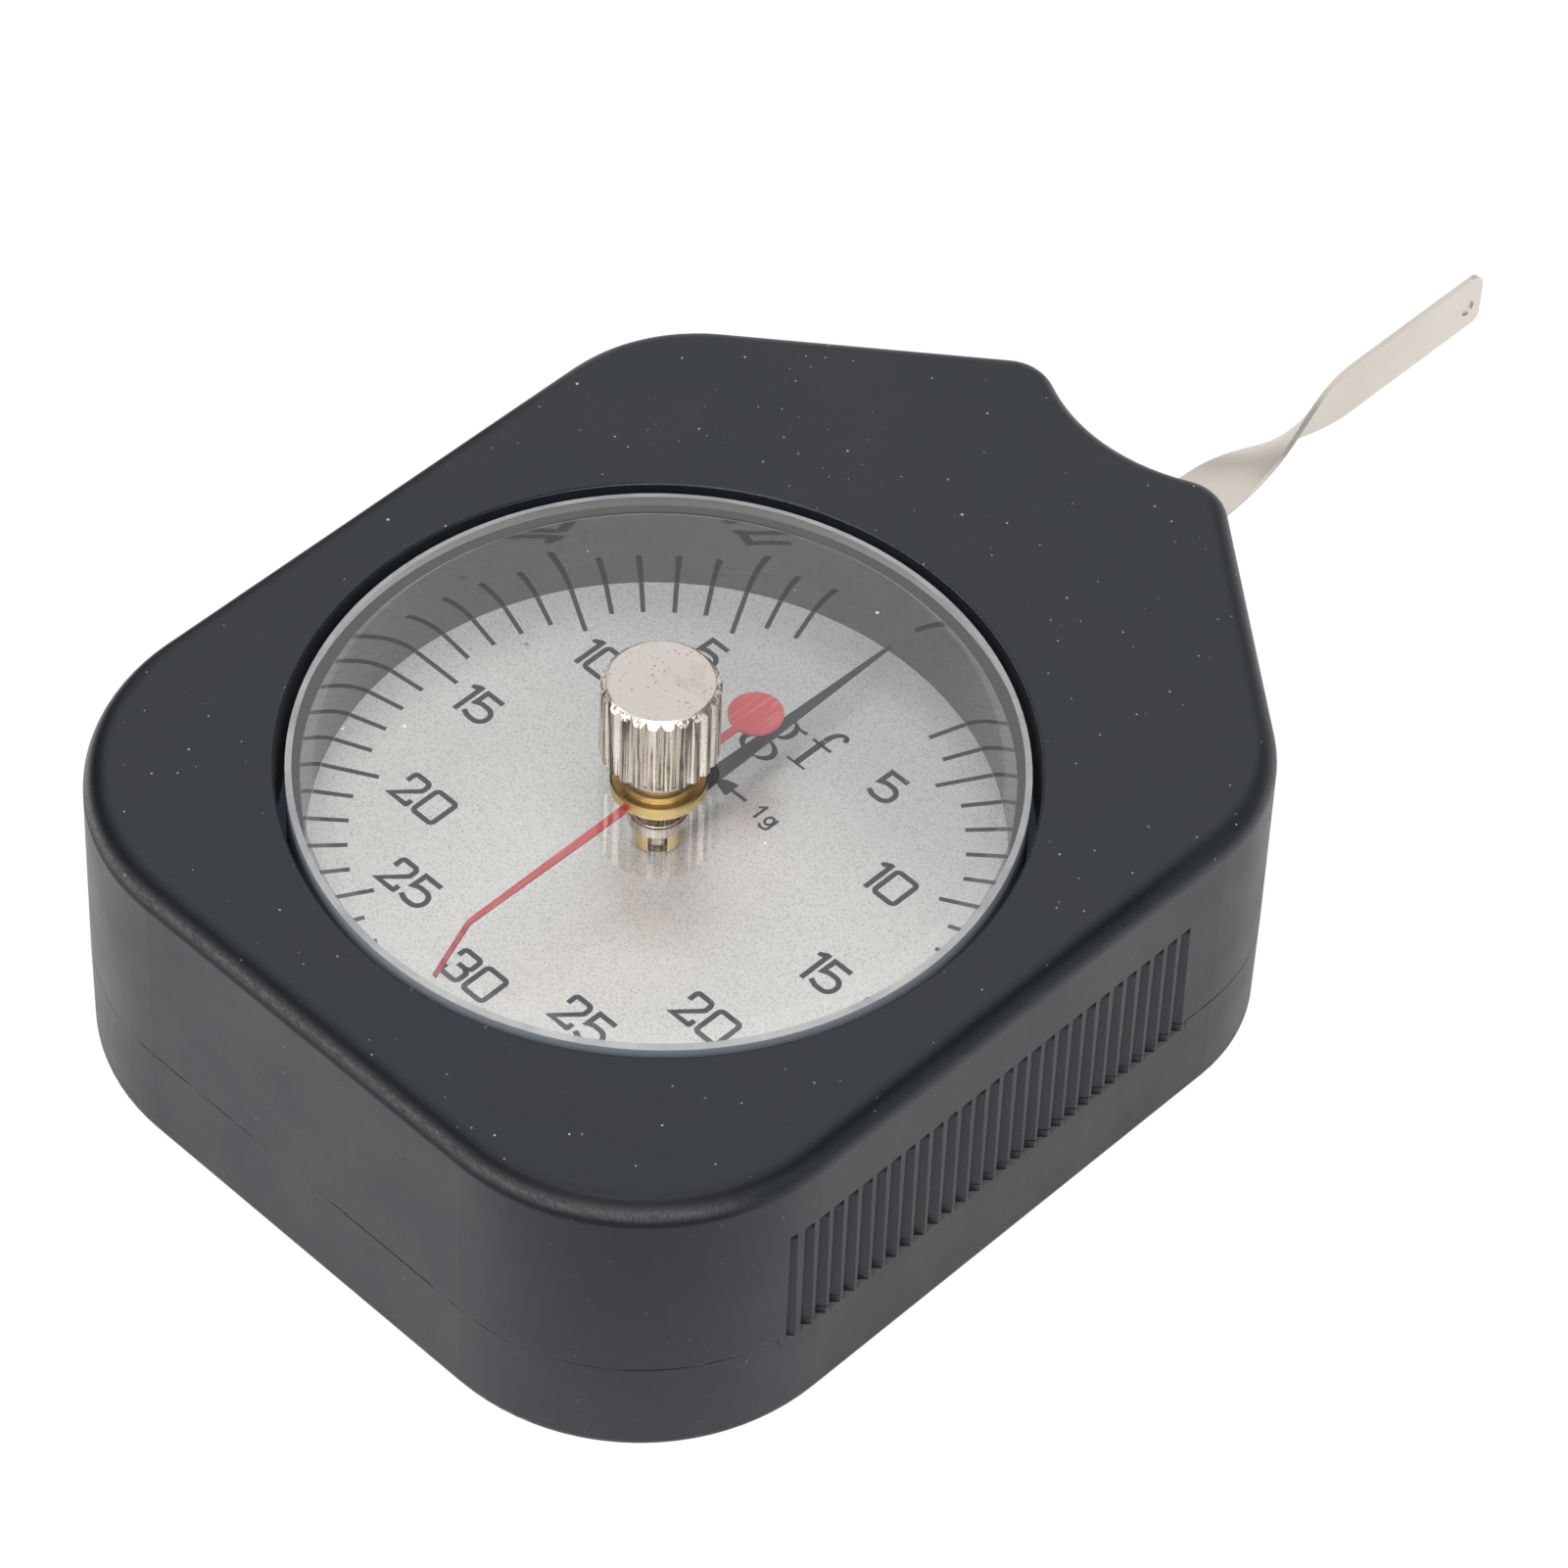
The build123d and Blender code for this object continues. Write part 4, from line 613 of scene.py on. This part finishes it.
def makeTickTree():
    # every gram from the first to the last, on both sides of the foot, longer at each fifth
    tree = bpy.data.node_groups.new("gramTicks", "GeometryNodeTree")
    tree.is_modifier = True
    wanted = {"Last Gram": "Int", "Grams Shown": "Int", "Long Every": "Int", "Gram Angle": "Float",
              "Outer Radius": "Float", "Short Length": "Float", "Long Length": "Float", "Line Width": "Float",
              "Ink Depth": "Float", "Ink Middle": "Float", "Ink": "Material"}
    sockets = {}
    for label, kind in wanted.items():
        socket = tree.interface.new_socket(label, in_out="INPUT", socket_type="NodeSocket" + kind)
        sockets[label] = socket.identifier
    tree.interface.new_socket("Geometry", in_out="OUTPUT", socket_type="NodeSocketGeometry")
    given = addNode(tree, "NodeGroupInput").outputs

    side = calc(tree, "SUBTRACT", given["Grams Shown"], 1.0)
    count = calc(tree, "ADD", times(tree, side, 2.0), 1.0)
    index = addNode(tree, "GeometryNodeInputIndex").outputs[0]
    step = calc(tree, "SUBTRACT", index, side)
    gram = calc(tree, "SUBTRACT", given["Last Gram"], calc(tree, "ABSOLUTE", step))
    # half a gram more, so that no rounding misses a fifth
    rest = calc(tree, "MODULO", calc(tree, "ADD", gram, 0.5), given["Long Every"])
    isLong = calc(tree, "LESS_THAN", rest, 1.0)
    extra = calc(tree, "SUBTRACT", given["Long Length"], given["Short Length"])
    length = calc(tree, "ADD", given["Short Length"], times(tree, extra, isLong))
    middle = calc(tree, "SUBTRACT", given["Outer Radius"], times(tree, length, 0.5))
    angle = times(tree, step, given["Gram Angle"])
    place = addNode(tree, "ShaderNodeCombineXYZ", {
        "X": times(tree, middle, calc(tree, "SINE", angle)),
        "Y": times(tree, middle, calc(tree, "COSINE", angle), -1.0),
        "Z": given["Ink Middle"]}).outputs[0]
    turn = addNode(tree, "ShaderNodeCombineXYZ", {"Z": angle}).outputs[0]
    size = addNode(tree, "ShaderNodeCombineXYZ", {
        "X": given["Line Width"], "Y": length, "Z": given["Ink Depth"]}).outputs[0]
    line = addNode(tree, "GeometryNodeMeshLine", {"Count": count, "Offset": (0, 0, 0)}).outputs[0]
    placed = addNode(tree, "GeometryNodeSetPosition", {"Geometry": line, "Position": place}).outputs[0]
    cube = addNode(tree, "GeometryNodeMeshCube", {"Size": (1, 1, 1)}).outputs[0]
    copies = addNode(tree, "GeometryNodeInstanceOnPoints", {
        "Points": placed, "Instance": cube, "Rotation": turn, "Scale": size}).outputs[0]
    real = addNode(tree, "GeometryNodeRealizeInstances", {"Geometry": copies}).outputs[0]
    inked = addNode(tree, "GeometryNodeSetMaterial", {"Geometry": real, "Material": given["Ink"]}).outputs[0]
    addNode(tree, "NodeGroupOutput", {"Geometry": inked})
    return tree, sockets


def makeTicks():
    sizes = {"Last Gram": 30, "Grams Shown": 28, "Long Every": 5, "Gram Angle": math.radians(6.0),
             "Outer Radius": 23.38 * mm, "Short Length": 2.78 * mm, "Long Length": 4.03 * mm,
             "Line Width": 0.34 * mm, "Ink Depth": inkTop - inkFoot, "Ink Middle": (inkTop + inkFoot) / 2,
             "Ink": printFinish}
    tree, sockets = makeTickTree()
    holder = bpy.data.objects.new("tickMaker", bpy.data.meshes.new("tickMaker"))
    scene.collection.objects.link(holder)
    modifier = holder.modifiers.new("gramTicks", "NODES")
    modifier.node_group = tree
    for label, value in sizes.items():
        modifier[sockets[label]] = value
    bpy.context.view_layer.update()
    made = bpy.data.meshes.new_from_object(holder.evaluated_get(bpy.context.evaluated_depsgraph_get()))
    holder.modifiers.remove(modifier)
    bpy.data.objects.remove(holder)
    addPrint("dialTicks", made)


def addPrint(name, data):
    data.name = name
    if not data.materials:
        data.materials.append(printFinish)
    piece = bpy.data.objects.new(name, data)
    scene.collection.objects.link(piece)
    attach(piece, "case")
    print(name, "made with", len(data.polygons), "faces")


def roundedPath(points, radii, closed=False):
    # cuts each corner by an arc of its radius, or as much of it as the corner's sides leave room for
    steps, sideShare = 8, 0.98
    path = []
    for index, (point, radius) in enumerate(zip(points, radii)):
        here = Vector(point)
        isEnd = not closed and index in (0, len(points) - 1)
        if isEnd or radius <= 0:
            path.append(here)
            continue
        before, after = Vector(points[index - 1]), Vector(points[(index + 1) % len(points)])
        toBefore, toAfter = (before - here).normalized(), (after - here).normalized()
        half = toBefore.angle(toAfter) / 2
        room = min((before - here).length, (after - here).length) * sideShare
        reach = min(radius / math.tan(half), room)
        radius = reach * math.tan(half)
        centre = here + (toBefore + toAfter).normalized() * (radius / math.sin(half))
        start, end = here + toBefore * reach - centre, here + toAfter * reach - centre
        sweep = start.angle_signed(end)
        for step in range(steps + 1):
            path.append(centre + Matrix.Rotation(-sweep * step / steps, 2) @ start)
    return path


def addStroke(mesh, path, width, origin=(0, 0), closed=False):
    # a flat ribbon of ink of the given width, or widths, with mitred corners and square ends
    mitreLimit = 0.5
    widths = width if isinstance(width, list) else [width] * len(path)
    count = len(path)
    rings = []
    for index, point in enumerate(path):
        before = path[index - 1] if closed or index > 0 else None
        after = path[(index + 1) % count] if closed or index < count - 1 else None
        ends = ((before, point), (point, after))
        along = [(b - a).normalized() for a, b in ends if a is not None and b is not None]
        direction = sum(along, Vector((0, 0))).normalized()
        side = Vector((-direction.y, direction.x))
        square = Vector((-along[0].y, along[0].x))
        reach = widths[index] / 2 / max(mitreLimit, abs(side.dot(square)))
        ring = []
        for sign, level in ((1, inkTop), (-1, inkTop), (-1, inkFoot), (1, inkFoot)):
            flat = (point + side * reach * sign) * mm + Vector(origin) * mm
            ring.append(mesh.verts.new((flat.x, flat.y, level)))
        rings.append(ring)
    pairs = [(rings[i], rings[(i + 1) % count]) for i in range(count if closed else count - 1)]
    for first, second in pairs:
        for corner in range(4):
            following = (corner + 1) % 4
            mesh.faces.new((first[corner], first[following], second[following], second[corner]))
    if not closed:
        mesh.faces.new(rings[0])
        mesh.faces.new(rings[-1][::-1])


def addPatch(mesh, points, origin=(0, 0)):
    # a flat filled shape of ink
    top, foot = [[mesh.verts.new(((x + origin[0]) * mm, (y + origin[1]) * mm, level)) for x, y in points]
                 for level in (inkTop, inkFoot)]
    mesh.faces.new(top)
    mesh.faces.new(foot[::-1])
    for index in range(len(points)):
        following = (index + 1) % len(points)
        mesh.faces.new((top[index], foot[index], foot[following], top[following]))


def finishPrint(name, mesh):
    bmesh.ops.recalc_face_normals(mesh, faces=mesh.faces)
    data = bpy.data.meshes.new(name)
    mesh.to_mesh(data)
    mesh.free()
    addPrint(name, data)


def makeNumerals():
    # millimetres; a figure's width is its outer one, and its own points run along the middle of its line
    figure = {"line": 0.39, "height": 2.40, "gap": 0.25}
    height, line = figure["height"], figure["line"]
    # each figure: width, strokes of points, corner radii and closed or not, and a filled patch
    shapes = {
        "0": (2.16, [([(0, 0), (1.81, 0), (1.81, height), (0, height)], [0.3] * 4, True)], []),
        "1": (0.85, [([(0.50, -line / 2), (0.50, height + line / 2)], [0, 0], False)],
              [(-0.17, 2.02), (0.02, 1.98), (0.40, 2.10), (0.40, 2.57), (0.20, 2.50), (-0.17, 2.27)]),
        "2": (1.96, [([(0.10, 1.56), (0.10, height), (1.52, height), (1.52, 1.60), (0.05, 0.0), (1.61, 0.0),
                       (1.61, 0.52)], [0, 0.22, 0.38, 0.30, 0, 0.05, 0], False)], []),
        "3": (1.88, [([(0.0, 1.72), (0.0, height), (1.50, height), (1.50, 1.42), (1.22, 1.20), (0.50, 1.20)],
                      [0, 0.22, 0.32, 0.2, 0.1, 0], False),
                     ([(1.15, 1.20), (1.53, 0.95), (1.53, 0.0), (0.0, 0.0), (0.0, 0.62)],
                      [0, 0.2, 0.32, 0.22, 0], False)], []),
        "5": (2.04, [([(1.50, height), (0.03, height), (0.0, 1.24), (0.45, 1.43), (1.69, 1.43), (1.69, 0.0),
                       (0.50, 0.0), (-0.08, 0.22)], [0, 0, 0, 0.3, 0.68, 0.68, 0.5, 0], False)], []),
    }
    places = [("5", 6.60, 12.93), ("10", 11.93, 6.85), ("15", 14.49, -1.79), ("20", 11.15, -10.13),
              ("25", 5.87, -16.03), ("30", -1.93, -18.50), ("25", -10.61, -16.03), ("20", -15.52, -10.25),
              ("15", -18.50, -1.73), ("10", -15.85, 7.15), ("5", -10.36, 12.80)]
    mesh = bmesh.new()
    for text, left, foot in places:
        for letter in text:
            wide, strokes, patch = shapes[letter]
            origin = (left + line / 2, foot + line / 2)
            for points, radii, closed in strokes:
                addStroke(mesh, roundedPath(points, radii, closed), line, origin, closed)
            if patch:
                addPatch(mesh, patch, origin)
            left += wide + figure["gap"]
    finishPrint("dialNumerals", mesh)


def ellipsePath(centre, radii, start=0, end=360, steps=28):
    # a whole turn leaves out its last point, which is the first one again
    count = steps if end - start == 360 else steps + 1
    angles = [math.radians(start + (end - start) * step / steps) for step in range(count)]
    return [Vector((centre[0] + radii[0] * math.cos(a), centre[1] + radii[1] * math.sin(a))) for a in angles]


def makeUnitMarks():
    # the gram-force unit under the needle, and the arrow with the value of one small step, in millimetres
    pen = {"thin": 0.16, "thick": 0.46, "swell": 1.5, "hookTaper": 0.012}

    def swelling(path, centre, reach):
        # thin at the top and foot of a bowl, thick at its sides
        extra = pen["thick"] - pen["thin"]
        return [pen["thin"] + extra * min(1.0, abs(p.x - centre) / reach) ** pen["swell"] for p in path]

    bowl = ellipsePath((-0.98, 13.12), (0.74, 0.90))
    loop = ellipsePath((-1.10, 10.70), (1.28, 0.88))
    hook = ellipsePath((2.45, 14.25), (0.75, 1.28), 180, 70, 16)
    hookWidths = [pen["thick"] - pen["hookTaper"] * step for step in range(len(hook))]
    tail = roundedPath([(4.56, 6.88), (4.56, 5.64), (3.86, 5.64), (3.86, 5.84)], [0, 0.3, 0.2, 0])
    # points, width or widths, and closed or not
    large = [
        (bowl, swelling(bowl, -0.98, 0.74), True),
        ([(-0.52, 13.86), (-0.1, 13.78), (0.42, 13.83)], [0.16, 0.2, 0.28], False),
        ([(-1.35, 12.35), (-1.72, 12.05), (-1.55, 11.70), (-0.9, 11.58)], [0.18, 0.3, 0.34, 0.4], False),
        (loop, swelling(loop, -1.10, 1.28), True),
        ([(1.70, 11.40), (1.70, 14.20)], pen["thick"], False),
        (hook, hookWidths, False),
        (ellipsePath((2.68, 15.32), (0.10, 0.12), steps=14), 0.2, True),
        ([(1.02, 13.82), (2.70, 13.82)], 0.24, False),
        ([(0.90, 11.43), (2.52, 11.43)], 0.18, False),
    ]
    arrowHead = [(-0.45, 6.18), (0.20, 5.97), (0.54, 5.94), (0.50, 7.22), (0.20, 7.18), (-0.45, 6.98),
                 (-0.93, 6.58)]
    small = [
        ([(0.45, 6.58), (1.83, 6.58)], 0.26, False),
        ([(3.20, 5.89), (3.20, 7.25)], 0.22, False),
        ([(2.80, 6.80), (3.16, 7.10)], 0.18, False),
        (ellipsePath((4.17, 6.42), (0.29, 0.36), steps=24), 0.2, True),
        (tail, 0.21, False),
    ]
    mesh = bmesh.new()
    for points, width, closed in large:
        addStroke(mesh, [Vector(point) for point in points], width, closed=closed)
    addPatch(mesh, arrowHead)
    for points, width, closed in small:
        addStroke(mesh, [Vector(point) for point in points], width, closed=closed)
    finishPrint("dialUnitMarks", mesh)


makeTicks()
makeNumerals()
makeUnitMarks()
